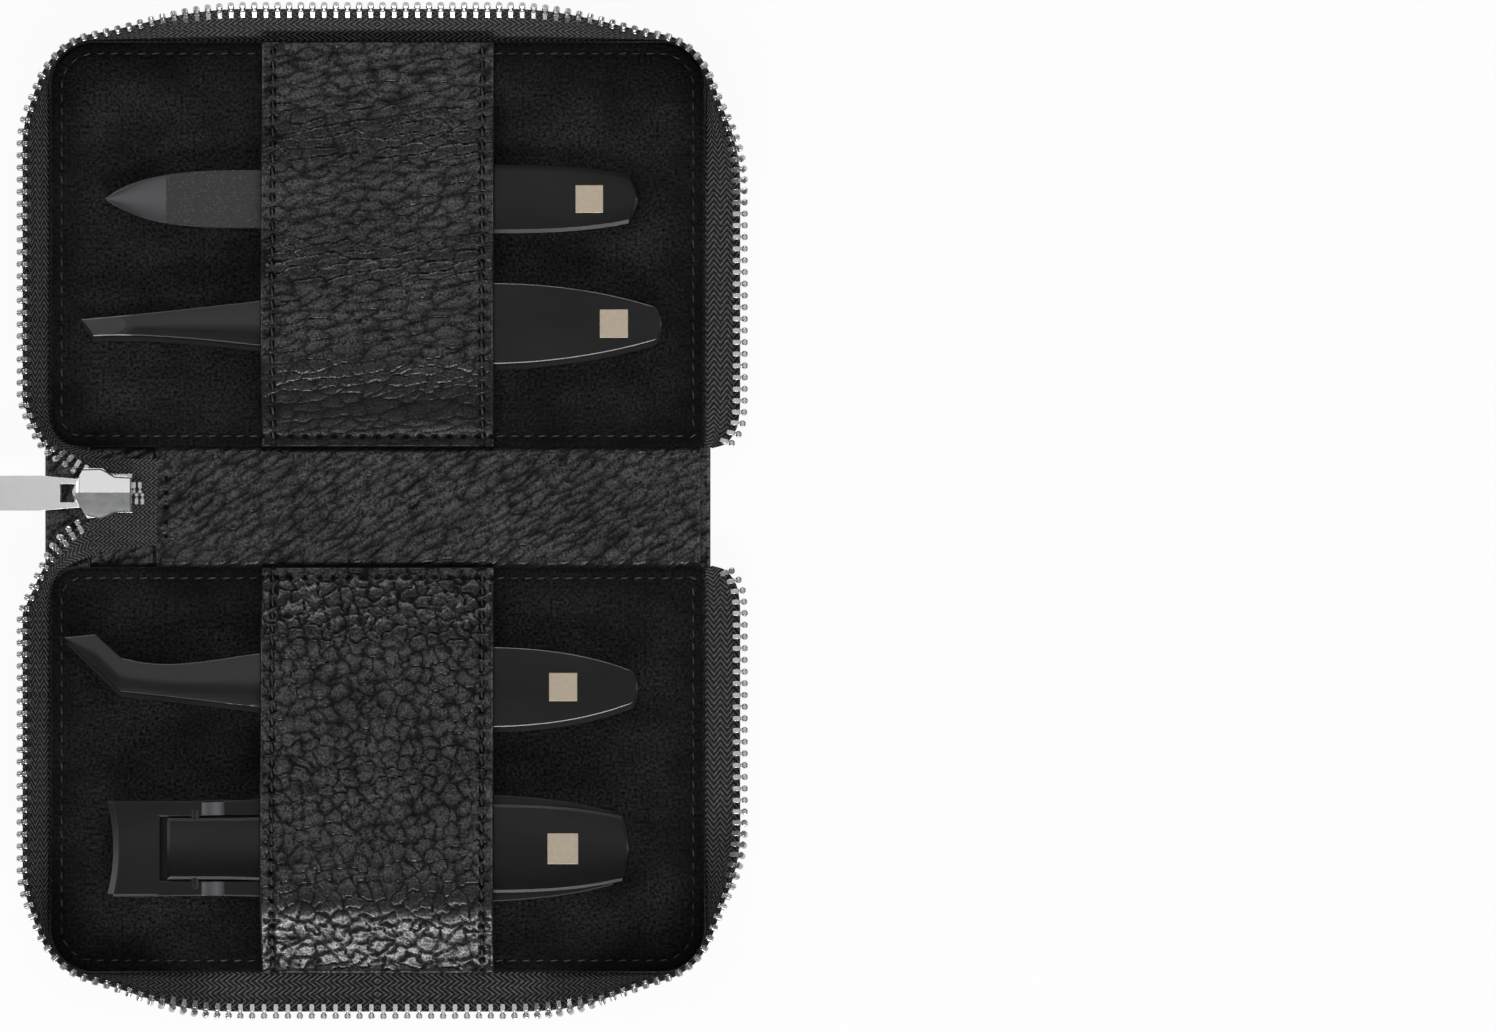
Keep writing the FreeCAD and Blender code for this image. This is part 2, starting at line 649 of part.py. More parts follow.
def pull(pin):
    """Tab on the crown's nose, lying out to the left with its end low, and the cord looped through it."""
    loop = cord_loop_inner + cord_loop_wall
    drop = pin[1] - cord_floor_gap - loop
    tilt = math.degrees(math.asin(drop / pull_length))
    near, far = 0, pull_length + pull_bar / 2
    tip = pull_slot_length + pull_slot_width
    half = pull_thickness / 2
    outline = [(pin[0] - a, zip_line + b) for a, b in
               ((near, -pull_eye_width / 2), (tip, -pull_width / 2), (far, -pull_width / 2),
                (far, pull_width / 2), (tip, pull_width / 2), (near, pull_eye_width / 2))]
    tab = plan(outline, (pin[1] - half, pin[1] + half))
    slot = (zip_line - pull_slot_width / 2, zip_line + pull_slot_width / 2)
    high = (pin[1] - pull_thickness, pin[1] + pull_thickness)
    tab = tab.cut(block((pin[0] - pull_slot_length, pin[0] + pull_thickness), slot, high))
    eye = (zip_line - pull_eye_width / 2, zip_line + pull_eye_width / 2)
    knuckle = bar(half, eye, *pin).cut(block((pin[0] - pull_thickness, pin[0] + pull_thickness), slot, high))
    tab = tab.fuse([knuckle, bar(pull_pin_radius, eye, *pin)])
    hole = (pin[0] - pull_length + pull_bar / 2, pin[0] - pull_length + loop + cord_clearance)
    room = (zip_line - cord_width / 2 - cord_clearance, zip_line + cord_width / 2 + cord_clearance)
    tab = tab.cut(block(hole, room, high)).removeSplitter()
    save("pull_tab", turned(tab, Y, -tilt, Vector(pin[0], zip_line, pin[1])))
    across = (zip_line - cord_width / 2, zip_line + cord_width / 2)
    end = (pin[0] - pull_length * math.cos(math.radians(tilt)), cord_floor_gap + loop)
    ring = bar(loop, across, *end)
    left = end[0] - cord_loop_inner - cord_loop_wall / 2
    cut_end = left - cord_length
    level = (cord_floor_gap, cord_floor_gap + 2 * cord_layer)
    side = [(left, level[0]), (left, level[1]), (cut_end + cord_slant, level[1]), (cut_end, level[0])]
    cord = ring.fuse(side_profile(side, across)).removeSplitter()
    save("pull_cord", cord.cut(bar(cord_loop_inner, across, *end)))


os.makedirs("parts", exist_ok=True)
half("top", 1, top_far_flap_lean)
half("bottom", -1, bottom_far_flap_lean)
spine()
slider()
nail_file()
slanted_tweezers()
angled_tweezers()
clipper()
straps()
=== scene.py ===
import json
import math

import bmesh
import bpy
import numpy as np
from mathutils import Matrix, Vector

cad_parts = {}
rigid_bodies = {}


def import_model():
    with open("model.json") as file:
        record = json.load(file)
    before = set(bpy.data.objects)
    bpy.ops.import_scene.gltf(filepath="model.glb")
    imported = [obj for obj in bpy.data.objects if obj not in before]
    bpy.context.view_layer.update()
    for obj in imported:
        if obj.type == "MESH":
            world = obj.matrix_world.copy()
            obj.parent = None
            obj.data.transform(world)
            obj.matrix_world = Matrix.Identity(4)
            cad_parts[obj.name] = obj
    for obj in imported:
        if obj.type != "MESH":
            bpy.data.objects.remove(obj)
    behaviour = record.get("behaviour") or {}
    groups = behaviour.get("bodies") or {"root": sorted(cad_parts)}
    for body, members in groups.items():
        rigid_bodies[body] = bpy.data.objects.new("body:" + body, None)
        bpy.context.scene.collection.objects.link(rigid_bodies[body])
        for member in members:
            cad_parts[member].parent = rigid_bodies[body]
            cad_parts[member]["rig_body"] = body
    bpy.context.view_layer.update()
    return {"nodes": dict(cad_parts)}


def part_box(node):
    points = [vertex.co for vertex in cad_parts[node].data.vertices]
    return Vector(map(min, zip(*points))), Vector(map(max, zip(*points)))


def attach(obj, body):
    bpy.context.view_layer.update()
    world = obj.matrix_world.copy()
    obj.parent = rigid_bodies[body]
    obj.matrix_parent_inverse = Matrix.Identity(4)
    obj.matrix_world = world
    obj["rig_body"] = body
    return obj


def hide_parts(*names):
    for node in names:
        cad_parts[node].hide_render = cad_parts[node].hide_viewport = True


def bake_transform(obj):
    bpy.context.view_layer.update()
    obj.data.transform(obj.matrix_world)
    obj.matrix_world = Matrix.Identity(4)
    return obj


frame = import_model()

# Sizes in millimetres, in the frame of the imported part. X runs along the spine, Z is up.
MM = 0.001
SIDES = {"top": 1, "bottom": -1}


def node_box(node):
    """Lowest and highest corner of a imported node, in millimetres."""
    low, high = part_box(node)
    return low / MM, high / MM


def body_of(node):
    """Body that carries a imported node."""
    return frame["nodes"][node]["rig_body"]


lining_low, lining_high = node_box("top_lining")
SIDE, NEAR, FAR, BED = lining_high.x, lining_low.y, lining_high.y, lining_high.z
spine_high = node_box("spine_leather")[1]
FOLD = spine_high.y - spine_high.z / 2
FACING_LOW, FACING_HIGH = node_box("spine_facing")

# Where the tools are paler: ground bare at the file tip and the tweezer facet, bare and painted highlight at the jaw
# edge, and painted highlight on the tweezer necks and edges and at the rail bends
FILE_GROUND = -33.4
FACET_CENTRE, FACET_SCALE = (-44.6, 29.1), (0.21, 0.58)
NECK_START, NECK_END = 10.0, -20.0
JAW_CENTRE, JAW_GROUND = (-71.3, -54.4), 30.4
RAIL_BEND, RAIL_BEND_HALF = -26.0, 1.75


# Shader values
class Flow:
    """A shader value. Sums on it add Math nodes, and node() adds any other node."""

    def __init__(self, tree, socket=None):
        self.tree = tree
        self.socket = socket

    def node(self, kind, sockets=None, out=0, **settings):
        made = self.tree.nodes.new("ShaderNode" + kind)
        for name, value in settings.items():
            setattr(made, name, value)
        for name, value in (sockets or {}).items():
            if isinstance(value, Flow):
                self.tree.links.new(value.socket, made.inputs[name])
            else:
                made.inputs[name].default_value = value
        return Flow(self.tree, made.outputs[out])

    def maths(self, operation, *values):
        return self.node("Math", dict(enumerate(values)), operation=operation)

    def __add__(self, other):
        return self.maths("ADD", self, other)

    __radd__ = __add__

    def __sub__(self, other):
        return self.maths("SUBTRACT", self, other)

    def __rsub__(self, other):
        return self.maths("SUBTRACT", other, self)

    def __mul__(self, other):
        return self.maths("MULTIPLY", self, other)

    __rmul__ = __mul__

    def spot(self, scale=(1.0, 1.0, 1.0)):
        """Object coordinates in millimetres, stretched by a scale on each axis."""
        place = self.node("TexCoord", out="Object")
        return self.node("VectorMath", {0: place, 1: [s / MM for s in scale]}, operation="MULTIPLY")

    def split(self):
        """The numbers along the three axes of a vector."""
        made = self.node("SeparateXYZ", {0: self}).socket.node
        return [Flow(self.tree, socket) for socket in made.outputs]

    def grain(self):
        """The grain attribute of the mesh: the height of the grain, which the finishes also use as painted shade where
        it is low.
        """
        return self.node("Attribute", attribute_name="grain", out="Fac")

    def noise(self, place, scale, detail=2.0):
        return self.node("TexNoise", {"Vector": place, "Scale": scale, "Detail": detail}, out="Fac")

    def rising(self, start, end, top=1.0):
        """0 up to the start, and from there to a top value at the end."""
        return self.node("MapRange", {0: self, 1: start, 2: end, 3: 0.0, 4: top})

    def grey(self, low, high):
        """Grey or colour between two tones, by this value from 0 to 1."""
        a, b = ((*t, 1.0) if isinstance(t, tuple) else (t, t, t, 1.0) for t in (low, high))
        return self.node("Mix", {0: self, 6: a, 7: b}, out=2, data_type="RGBA", clamp_factor=True)

    def bump(self, height, depth, strength=1.0):
        """Normal of a relief whose depth is in millimetres."""
        return self.node("Bump", {"Height": height, "Distance": depth * MM, "Strength": strength})


# Finishes
def material(name, fixed, surface):
    """Principled material with fixed sockets, and sockets that vary over the surface."""
    made = bpy.data.materials.new(name)
    made.use_nodes = True
    tree = made.node_tree
    shader = tree.nodes["Principled BSDF"]
    for socket, value in fixed.items():
        shader.inputs[socket].default_value = value
    for socket, value in surface(Flow(tree)).items():
        tree.links.new(value.socket, shader.inputs[socket])
    return made


def metal(name, surface, share=1.0):
    return material(name, {"Metallic": share}, surface)


def leather_surface(flow):
    """Black grain leather: painted shade darkens its colour in the creases, where it is also dull, with a waxed gloss
    on the crowns that fades at a glancing view.
    """
    grain, spot = flow.grain(), flow.spot()
    pores = flow.noise(spot, 2.8, 6.0) * 4.0 - 1.5
    wear = flow.noise(spot, 0.16)
    # Painted shade: the colour darkens where the grain attribute is low (creases, stitch holes, shaded ends), mixed
    # with real wear mottling; the same value sets the coat gloss.
    wear_and_crease_shade = grain * grain * (0.1 + 0.5 * wear + 1.1 * pores)
    glance = flow.node("LayerWeight", {"Blend": 0.5}, out="Facing")
    return {"Base Color": wear_and_crease_shade.grey(0.0006, 0.012), "Roughness": 0.7 - 0.2 * grain,
            "Coat Weight": wear_and_crease_shade * (0.84 - 0.74 * glance), "Normal": flow.bump(pores, 0.09)}


def suede_surface(flow):
    """Short nap, brushed paler in clouds, and darkened by painted shade where the grain attribute is low, towards the
    lining's border.
    """
    nap = flow.noise(flow.spot(), 2.0, 6.0) * 2.8 - 0.9
    brushed = flow.noise(flow.spot((0.10, 0.13, 0.13)), 1.0, 4.0) * 2.0 - 0.5
    # The grain attribute here is painted shade that darkens the suede towards the lining's border.
    tone = nap * (0.25 + 0.9 * brushed) * flow.grain()
    return {"Base Color": tone.grey(0.0007, 0.034), "Normal": flow.bump(nap, 0.14)}


def tape_surface(flow):
    """Herringbone: slanted yarns that turn back at each column, on the tape's own UV in millimetres."""
    along, across, _ = flow.node("TexCoord", out="UV").split()
    fuzz = flow.noise(flow.spot(), 3.0, 4.0)
    slant = flow.maths("PINGPONG", across, 1.05)
    yarn = flow.maths("SINE", (along + 1.3 * slant + 0.4 * fuzz) * 6.6) * 0.5 + 0.5
    rib = flow.maths("SINE", across * 6.0 + along * 1.7) * 0.5 + 0.5
    weave = flow.maths("POWER", yarn * 0.75 + rib * 0.15 + fuzz * 0.3, 3.6)
    return {"Base Color": weave.grey(0.0008, 0.14), "Normal": flow.bump(weave, 0.22)}


def steel_surface(ground=None):
    """Black coated steel, brushed along its length. A given mask makes parts paler: bare ground steel on the file tip
    and tweezer facet, painted highlight on tool edges, necks and rail bends, and both on the clipper's jaw edge.
    """
    bare_and_highlight_tone = (0.11, 0.11, 0.115, 1.0)

    def surface(flow):
        brush = flow.noise(flow.spot((0.035, 6.0, 6.0)), 1.0, 3.0)
        cloud = flow.noise(flow.spot((0.05, 0.16, 0.16)), 1.0)
        tone = (brush * 0.35 + cloud * 0.65).grey(0.015, 0.036)
        if ground:
            tone = flow.node("Mix", {0: ground(flow), 6: tone, 7: bare_and_highlight_tone}, out=2, data_type="RGBA")
        return {"Base Color": tone, "Roughness": 0.27 + 0.16 * brush, "Normal": flow.bump(brush, 0.012, 0.6)}
    return surface


def level(flow):
    """1 on a face that lies level, 0 on one that stands upright."""
    return flow.node("TexCoord", out="Normal").split()[2]


def painted_edge_and_neck_highlight(flow):
    """Painted highlight: the chamfered edges of a tool paler than its faces, and a neck that grows paler to the tip."""
    # Painted highlight on the neck and on the tilted chamfer faces.
    neck = flow.spot().split()[0].rising(NECK_START, NECK_END, 0.26)
    return flow.maths("MAXIMUM", neck, flow.maths("COMPARE", level(flow), 0.76, 0.14) * 0.5)


def file_tip(flow):
    """The smooth ground point of the file."""
    ground = flow.maths("LESS_THAN", flow.spot().split()[0], FILE_GROUND)
    return ground * flow.maths("GREATER_THAN", level(flow), 0.9)


def tweezer_tip(flow):
    """The oval facet ground on the slanted tip, with the painted highlight on the edges and neck."""
    a, b = ((axis - centre) * scale for axis, centre, scale in zip(flow.spot().split(), FACET_CENTRE, FACET_SCALE))
    facet = flow.maths("LESS_THAN", a * a + b * b, 1.0) * flow.maths("GREATER_THAN", level(flow), 0.9)
    return flow.maths("MAXIMUM", facet * 0.46, painted_edge_and_neck_highlight(flow))


def clipper_ground_and_highlight(flow):
    """The jaw's ground edge, paler as bare steel and as painted highlight, and painted highlight in bands at the bends
    of the rails.
    """
    x, y, _ = flow.spot().split()
    a, b = x - JAW_CENTRE[0], y - JAW_CENTRE[1]
    ground = flow.maths("LESS_THAN", a * a + b * b, JAW_GROUND ** 2)
    # Painted highlight in bands across the bends of the rails.
    bend = flow.maths("COMPARE", x, RAIL_BEND, RAIL_BEND_HALF)
    painted_bend_highlight = flow.maths("SINE", (x - RAIL_BEND) * 2.4) * 0.25 + 0.6
    return flow.maths("MAXIMUM", ground * 0.3, bend * painted_bend_highlight)


def cast_surface(low, high, rough):
    """Bright casting with faint clouding."""
    def surface(flow):
        cloud = flow.noise(flow.spot(), 0.9, 3.0)
        grain = flow.noise(flow.spot(), 7.0, 2.0)
        return {"Base Color": cloud.grey(low, high), "Roughness": rough + 0.12 * cloud,
                "Normal": flow.bump(grain, 0.01, 0.5)}
    return surface


def grit_surface(flow):
    """Field of abrasive grains, a few of which sparkle."""
    cells, tone = (flow.node("TexVoronoi", {"Vector": flow.spot(), "Scale": 5.5}, out=out)
                   for out in ("Distance", "Color"))
    spark = flow.node("SeparateColor", {0: tone}).rising(0.9, 0.97)
    fine = flow.noise(flow.spot(), 3.0, 4.0)
    return {"Base Color": (fine * 0.4 + spark * 0.6).grey(0.008, 0.10), "Normal": flow.bump(cells, 0.08)}


def bronze_surface(flow):
    cloud = flow.noise(flow.spot(), 1.6, 4.0)
    return {"Base Color": cloud.grey((0.50, 0.42, 0.32), (0.68, 0.58, 0.45)), "Roughness": 0.36 + 0.14 * cloud}


def thread_surface(flow):
    ply = flow.noise(flow.spot((3.0, 3.0, 3.0)), 1.0, 3.0)
    pulled = flow.noise(flow.spot(), 0.35, 3.0) * 3.2 - 1.1
    return {"Base Color": (ply * pulled).grey(0.004, 0.075), "Normal": flow.bump(ply, 0.05)}


def board_surface(flow):
    fibre = flow.noise(flow.spot((0.6, 2.0, 2.0)), 1.0, 4.0)
    return {"Base Color": fibre.grey((0.035, 0.032, 0.03), (0.07, 0.065, 0.06)), "Normal": flow.bump(fibre, 0.05)}


LEATHER = material("pebbled_leather", {"Specular IOR Level": 0.14, "Coat Roughness": 0.3, "Coat IOR": 1.8},
                   leather_surface)
SUEDE = material("suede", {"Roughness": 1.0, "Specular IOR Level": 0.05, "Sheen Weight": 0.08,
                           "Sheen Roughness": 0.5}, suede_surface)
TAPE = material("zip_weave", {"Roughness": 0.75, "Specular IOR Level": 0.3}, tape_surface)
TEETH = metal("tooth_metal", cast_surface(0.34, 0.64, 0.22))
SLIDER = metal("slider_metal", cast_surface(0.76, 0.86, 0.19), 0.9)
STEEL = metal("black_steel", steel_surface())
FILE_STEEL = metal("file_steel", steel_surface(file_tip))
# The tweezer finishes are paler on their edges and necks, a painted highlight.
TWEEZER_STEEL = metal("tweezer_steel", steel_surface(tweezer_tip))
ANGLED_STEEL = metal("angled_tweezer_steel", steel_surface(painted_edge_and_neck_highlight))
# The clipper's finish is paler at its jaw edge, bare steel with painted highlight, and at its rail bends, painted
# highlight.
CLIPPER_STEEL = metal("clipper_steel", steel_surface(clipper_ground_and_highlight))
PIN = metal("pin_steel", cast_surface(0.02, 0.045, 0.28))
GRIT = material("abrasive", {"Roughness": 0.7}, grit_surface)
BRONZE = metal("bronze_square", bronze_surface)
THREAD = material("waxed_thread", {"Roughness": 0.55}, thread_surface)
BOARD = material("pressed_board", {"Roughness": 0.9}, board_surface)
BADGE = material("badge_enamel", {"Coat Weight": 0.6}, cast_surface(0.012, 0.02, 0.2))


# Meshes
def new_piece(name, data, finish=None):
    """Object in the scene for a mesh, a lamp, a camera or a curve."""
    if finish:
        data.materials.append(finish)
    piece = bpy.data.objects.new(name, data)
    bpy.context.scene.collection.objects.link(piece)
    return piece


def reworked(mesh, change):
    """Mesh after a change that works on its faces."""
    work = bmesh.new()
    work.from_mesh(mesh)
    change(work)
    work.to_mesh(mesh)
    work.free()
    return mesh


def plain_mesh(piece):
    """Mesh of an object as its modifiers make it."""
    bpy.context.view_layer.update()
    return bpy.data.meshes.new_from_object(piece.evaluated_get(bpy.context.evaluated_depsgraph_get()))


def points_of(x, y, z):
    return np.stack([x, y, z], -1)


def quads(grid, round_rows=False, round_columns=False):
    """Faces between the neighbours in a grid of point numbers, which may close on itself."""
    if round_rows:
        grid = np.concatenate([grid, grid[:1]])
    if round_columns:
        grid = np.concatenate([grid, grid[:, :1]], 1)
    return np.stack([grid[:-1, :-1], grid[1:, :-1], grid[1:, 1:], grid[:-1, 1:]], -1).reshape(-1, 4).tolist()


def numbers(grid, first=0):
    """Point numbers of a grid of points."""
    return first + np.arange(grid.shape[0] * grid.shape[1]).reshape(grid.shape[:2])


def shell(name, points, faces, finish, uv=None, grain=None, sharp=55):
    """Closed mesh from points in millimetres, faces outwards, with its own UV and grain height.

    Edges over the sharp angle, in degrees, stay sharp.
    """
    mesh = bpy.data.meshes.new(name)
    mesh.from_pydata((np.asarray(points) * MM).tolist(), [], faces)
    reworked(mesh, lambda work: bmesh.ops.recalc_face_normals(work, faces=work.faces))
    mesh.shade_smooth()
    if sharp:
        mesh.set_sharp_from_angle(angle=math.radians(sharp))
    if uv is not None:
        corner = np.empty(len(mesh.loops), dtype=np.int32)
        mesh.loops.foreach_get("vertex_index", corner)
        mesh.uv_layers.new(name="UVMap").data.foreach_set("uv", np.asarray(uv)[corner].astype(np.float32).ravel())
    if grain is not None:
        mesh.attributes.new("grain", "FLOAT", "POINT").data.foreach_set("value", np.asarray(grain, dtype=np.float32))
    return new_piece(name, mesh, finish)


def slab(name, front, back, finish, uv=None, grain=None, plain_back=False, sharp=55):
    """Closed sheet between two grids of points. A plain back keeps only its two long edges."""
    back = back[:, [0, -1]] if plain_back else back
    index = numbers(front)
    behind = numbers(back, index.size)
    faces = quads(index) + quads(behind)
    for column in (0, -1):
        faces += quads(np.stack([index[:, column], behind[:, column]], 1))
    for row in (0, -1):
        if plain_back:
            faces.append(index[row].tolist() + behind[row][::-1].tolist())
        else:
            faces += quads(np.stack([index[row], behind[row]]))
    points = np.concatenate([front.reshape(-1, 3), back.reshape(-1, 3)])
    if uv is not None:
        uv = np.concatenate([uv.reshape(-1, 2)] * 2)
    if grain is not None:
        behind_grain = grain[1][:, [0, -1]] if plain_back else grain[1]
        grain = np.concatenate([grain[0].reshape(-1), behind_grain.reshape(-1)])
    return shell(name, points, faces, finish, uv, grain, sharp)


def fit(piece, body=None, nodes=(), bend=None):
    """Hide the nodes that a piece stands for, and attach it to the body that carries it; a piece given a bend is only
    fixed in place, on no body.
    """
    if nodes:
        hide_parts(*nodes)
    if bend:
        body_a, body_b, start, end = bend
        [c * MM for c in start]
        [c * MM for c in end]
        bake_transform(piece)
    else:
        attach(piece, body)
    return piece


def fit_spine(piece, side, nodes, start, end):
    """Carry a piece on the spine, or fix a flank on one side in place; the bend from the spine into that half that it
    passes on is not used.
    """
    if side == 0:
        return fit(piece, "spine", nodes)
    half = "top_half" if side > 0 else "bottom_half"
    return fit(piece, bend=("spine", half, (0, start, 0), (0, end, 0)))


# Leather grain and edges
def smoothstep(t):
    t = np.clip(t, 0.0, 1.0)
    return t * t * (3 - 2 * t)


def hashed(u, v, seed):
    """Number from 0 to 1 that looks random, for a place on a lattice."""
    value = np.sin(u * 127.1 + v * 311.7 + seed * 74.7) * 43758.5453
    return value - np.floor(value)


def drift(u, v, seed):
    """Smooth noise from 0 to 1 on a unit lattice."""
    iu, iv = np.floor(u), np.floor(v)
    fu, fv = smoothstep(u - iu), smoothstep(v - iv)
    low = hashed(iu, iv, seed) * (1 - fu) + hashed(iu + 1, iv, seed) * fu
    high = hashed(iu, iv + 1, seed) * (1 - fu) + hashed(iu + 1, iv + 1, seed) * fu
    return low * (1 - fv) + high * fv


def pebbles(x, y, size, stretch=1.0, slant=0.0, seed=1.0, dome=0.6, cross=0.8):
    """Leather grain: 0 in the creases, up to 1 on the crowns.

    Creases run along the slant, in degrees, and those across it have a share of their depth.
    """
    turn = math.radians(slant)
    a = (x * math.cos(turn) + y * math.sin(turn)) / (size * stretch)
    b = (y * math.cos(turn) - x * math.sin(turn)) / size

    def wander(place, start):
        broad, fine = drift(a * 1.1, b * 1.1, start), drift(a * 2.7, b * 2.7, start + 1)
        return place + 0.6 * (broad - 0.5) + 0.34 * (fine - 0.5)

    u, v = wander(a, seed + 3), wander(b, seed + 7)
    first = second = np.full(u.shape, 9.0 + 0j)
    for cell in range(9):
        cu, cv = np.floor(u) + (cell // 3 - 1), np.floor(v) + (cell % 3 - 1)
        way = cu + 0.1 + 0.8 * hashed(cu, cv, seed) - u + 1j * (cv + 0.1 + 0.8 * hashed(cu, cv, seed + 5) - v)
        nearest = np.abs(way) < np.abs(first)
        second = np.where(nearest, first, np.where(np.abs(way) < np.abs(second), way, second))
        first = np.where(nearest, way, first)
    width = 0.08 + 0.20 * drift(a * 0.9, b * 0.9, seed + 9)
    gap = np.clip(1 - (np.abs(second) - np.abs(first)) / width, 0, 1)
    along = ((second - first).imag / np.abs(second - first)) ** 2
    crown = np.clip(1.0 - dome * np.abs(first) ** 2.2, 0, 1) * (1 - (cross + (1 - cross) * along) * gap ** 1.8)
    fold = drift(a * 0.4, b * 0.5, seed + 11)
    wrinkle = 0.6 * drift(a * 3.7, b * 3.7, seed + 13) + 0.4 * drift(a * 7.9, b * 7.1, seed + 15)
    return crown * (0.64 + 0.18 * fold + 0.22 * wrinkle)


def edge_roll(distance, radius):
    """How far a rolled edge drops, at a distance in from the edge."""
    inside = np.clip(1 - distance / radius, 0, 1)
    return radius * (1 - np.sqrt(1 - inside ** 2))


def groove(distance, width):
    """1 in the middle of a groove, by the distance off its line."""
    return np.exp(-(distance / width) ** 2)


def stitch_holes(distance, run, pitch, width):
    """Row of stitch holes, 1 in each: by the distance off the row and the run along it."""
    return groove(distance, width) * (0.5 + 0.5 * np.cos(2 * math.pi * run / pitch)) ** 2


# Things that repeat
def stamp_tree():
    """Copies of one shape on every point, turned by the point's own attribute."""
    tree = bpy.data.node_groups.new("stamp_on_points", "GeometryNodeTree")
    sides = (("Geometry", "INPUT", "Geometry"), ("Shape", "INPUT", "Object"), ("Size", "INPUT", "Vector"),
             ("Finish", "INPUT", "Material"), ("Geometry", "OUTPUT", "Geometry"))
    for name, way, kind in sides:
        tree.interface.new_socket(name, in_out=way, socket_type="NodeSocket" + kind)
    kinds = {"given": "NodeGroupInput", "made": "NodeGroupOutput", "shape": "GeometryNodeObjectInfo",
             "turn": "GeometryNodeInputNamedAttribute", "turned": "FunctionNodeEulerToRotation",
             "copies": "GeometryNodeInstanceOnPoints", "solid": "GeometryNodeRealizeInstances",
             "finish": "GeometryNodeSetMaterial"}
    n = {key: tree.nodes.new(kind) for key, kind in kinds.items()}
    n["turn"].data_type = "FLOAT_VECTOR"
    n["turn"].inputs["Name"].default_value = "turn"
    links = (("given", "Geometry", "copies", "Points"), ("given", "Shape", "shape", "Object"),
             ("shape", "Geometry", "copies", "Instance"), ("turn", "Attribute", "turned", "Euler"),
             ("turned", "Rotation", "copies", "Rotation"), ("given", "Size", "copies", "Scale"),
             ("copies", "Instances", "solid", "Geometry"), ("solid", "Geometry", "finish", "Geometry"),
             ("given", "Finish", "finish", "Material"), ("finish", "Geometry", "made", "Geometry"))
    for a, out, b, into in links:
        tree.links.new(n[a].outputs[out], n[b].inputs[into])
    return tree


STAMP = stamp_tree()


def stamped(name, places, turns, shape, size, finish):
    """Plain mesh of a shape repeated at places in millimetres, each with its rotation matrix."""
    mesh = bpy.data.meshes.new(name)
    mesh.from_pydata([[c * MM for c in p] for p in places], [], [])
    eulers = [c for turn in turns for c in turn.to_euler()]
    mesh.attributes.new("turn", "FLOAT_VECTOR", "POINT").data.foreach_set("vector", eulers)
    piece = new_piece(name, mesh)
    maker = piece.modifiers.new("stamp", "NODES")
    maker.node_group = STAMP
    values = {"Shape": shape, "Size": size, "Finish": finish}
    for item in STAMP.interface.items_tree:
        if item.in_out == "INPUT" and item.name in values:
            maker[item.identifier] = values[item.name]
    solid = plain_mesh(piece)
    piece.modifiers.remove(maker)
    piece.data = solid
    solid.shade_smooth()
    solid.set_sharp_from_angle(angle=math.radians(40))
    bpy.data.meshes.remove(mesh)
    solid.name = name
    return piece


def built(name, build):
    """Mesh from a function that builds it in millimetres."""
    def scaled(work):
        build(work)
        for v in work.verts:
            v.co *= MM
    return reworked(bpy.data.meshes.new(name), scaled)


def shape_object(name, build):
    """Hidden shape that the stamp copies."""
    mesh = built(name, build)
    mesh.shade_smooth()
    return bpy.data.objects.new(name, mesh)


def add_block(work, low, high, bevel):
    """Bevelled block between two corners."""
    low, high = Vector(low), Vector(high)
    made = bmesh.ops.create_cube(work, size=1.0)["verts"]
    size = high - low
    for v in made:
        v.co = Vector((v.co[i] * size[i] for i in range(3))) + (low + high) / 2
    edges = list({e for v in made for e in v.link_edges})
    bmesh.ops.bevel(work, geom=edges, offset=bevel, segments=1, affect="EDGES", profile=0.5)


def build_tooth(work):
    """Tooth: two legs over the tape, a neck and a round dimpled head. Its Y points away from the tape."""
    for bottom, top in ((-0.62, -0.12), (0.12, 0.62)):
        add_block(work, (-0.42, -0.1, bottom), (0.42, 1.2, top), 0.1)
    add_block(work, (-0.24, 1.05, -0.42), (0.24, 1.6, 0.42), 0.08)
    head = bmesh.ops.create_cone(work, cap_ends=True, segments=10, radius1=0.53, radius2=0.53, depth=1.0)["verts"]
    for v in head:
        v.co.y += 1.87
    rims = list({e for v in head for e in v.link_edges if abs(e.verts[0].co.z - e.verts[1].co.z) < 1e-6})
    bmesh.ops.bevel(work, geom=rims, offset=0.13, segments=1, affect="EDGES", profile=0.5)
    work.normal_update()
    for face in [f for f in work.faces if abs(f.normal.z) > 0.9 and f.calc_center_median().y > 1.7]:
        bmesh.ops.inset_individual(work, faces=[face], thickness=0.1)
        for v in face.verts:
            v.co.z -= math.copysign(0.2, v.co.z)


def build_stitch(work):
    """Stitch: a short rounded thread along X that dips at both ends."""
    bmesh.ops.create_icosphere(work, subdivisions=2, radius=0.5)
    for v in work.verts:
        v.co.z -= 0.5 * v.co.x ** 2


TOOTH = shape_object("tooth_shape", build_tooth)
STITCH = shape_object("stitch_shape", build_stitch)


def matrix_of(x, y, z):
    return Matrix((x, y, z)).transposed()


def run_along(points):
    """Length run along a line, at each of its points."""
    return np.concatenate([[0], np.cumsum(np.linalg.norm(np.diff(points, axis=0), axis=1))])


def values_at(at, run, values):
    """Rows of three values, read between the points of a line."""
    return np.stack([np.interp(at, run, values[:, i]) for i in range(3)], -1)


def resample(points, step):
    """Evenly spaced points along a line of points."""
    points = np.asarray(points, dtype=float)
    run = run_along(points)
    return values_at(np.linspace(0, run[-1], max(2, int(round(run[-1] / step)) + 1)), run, points)


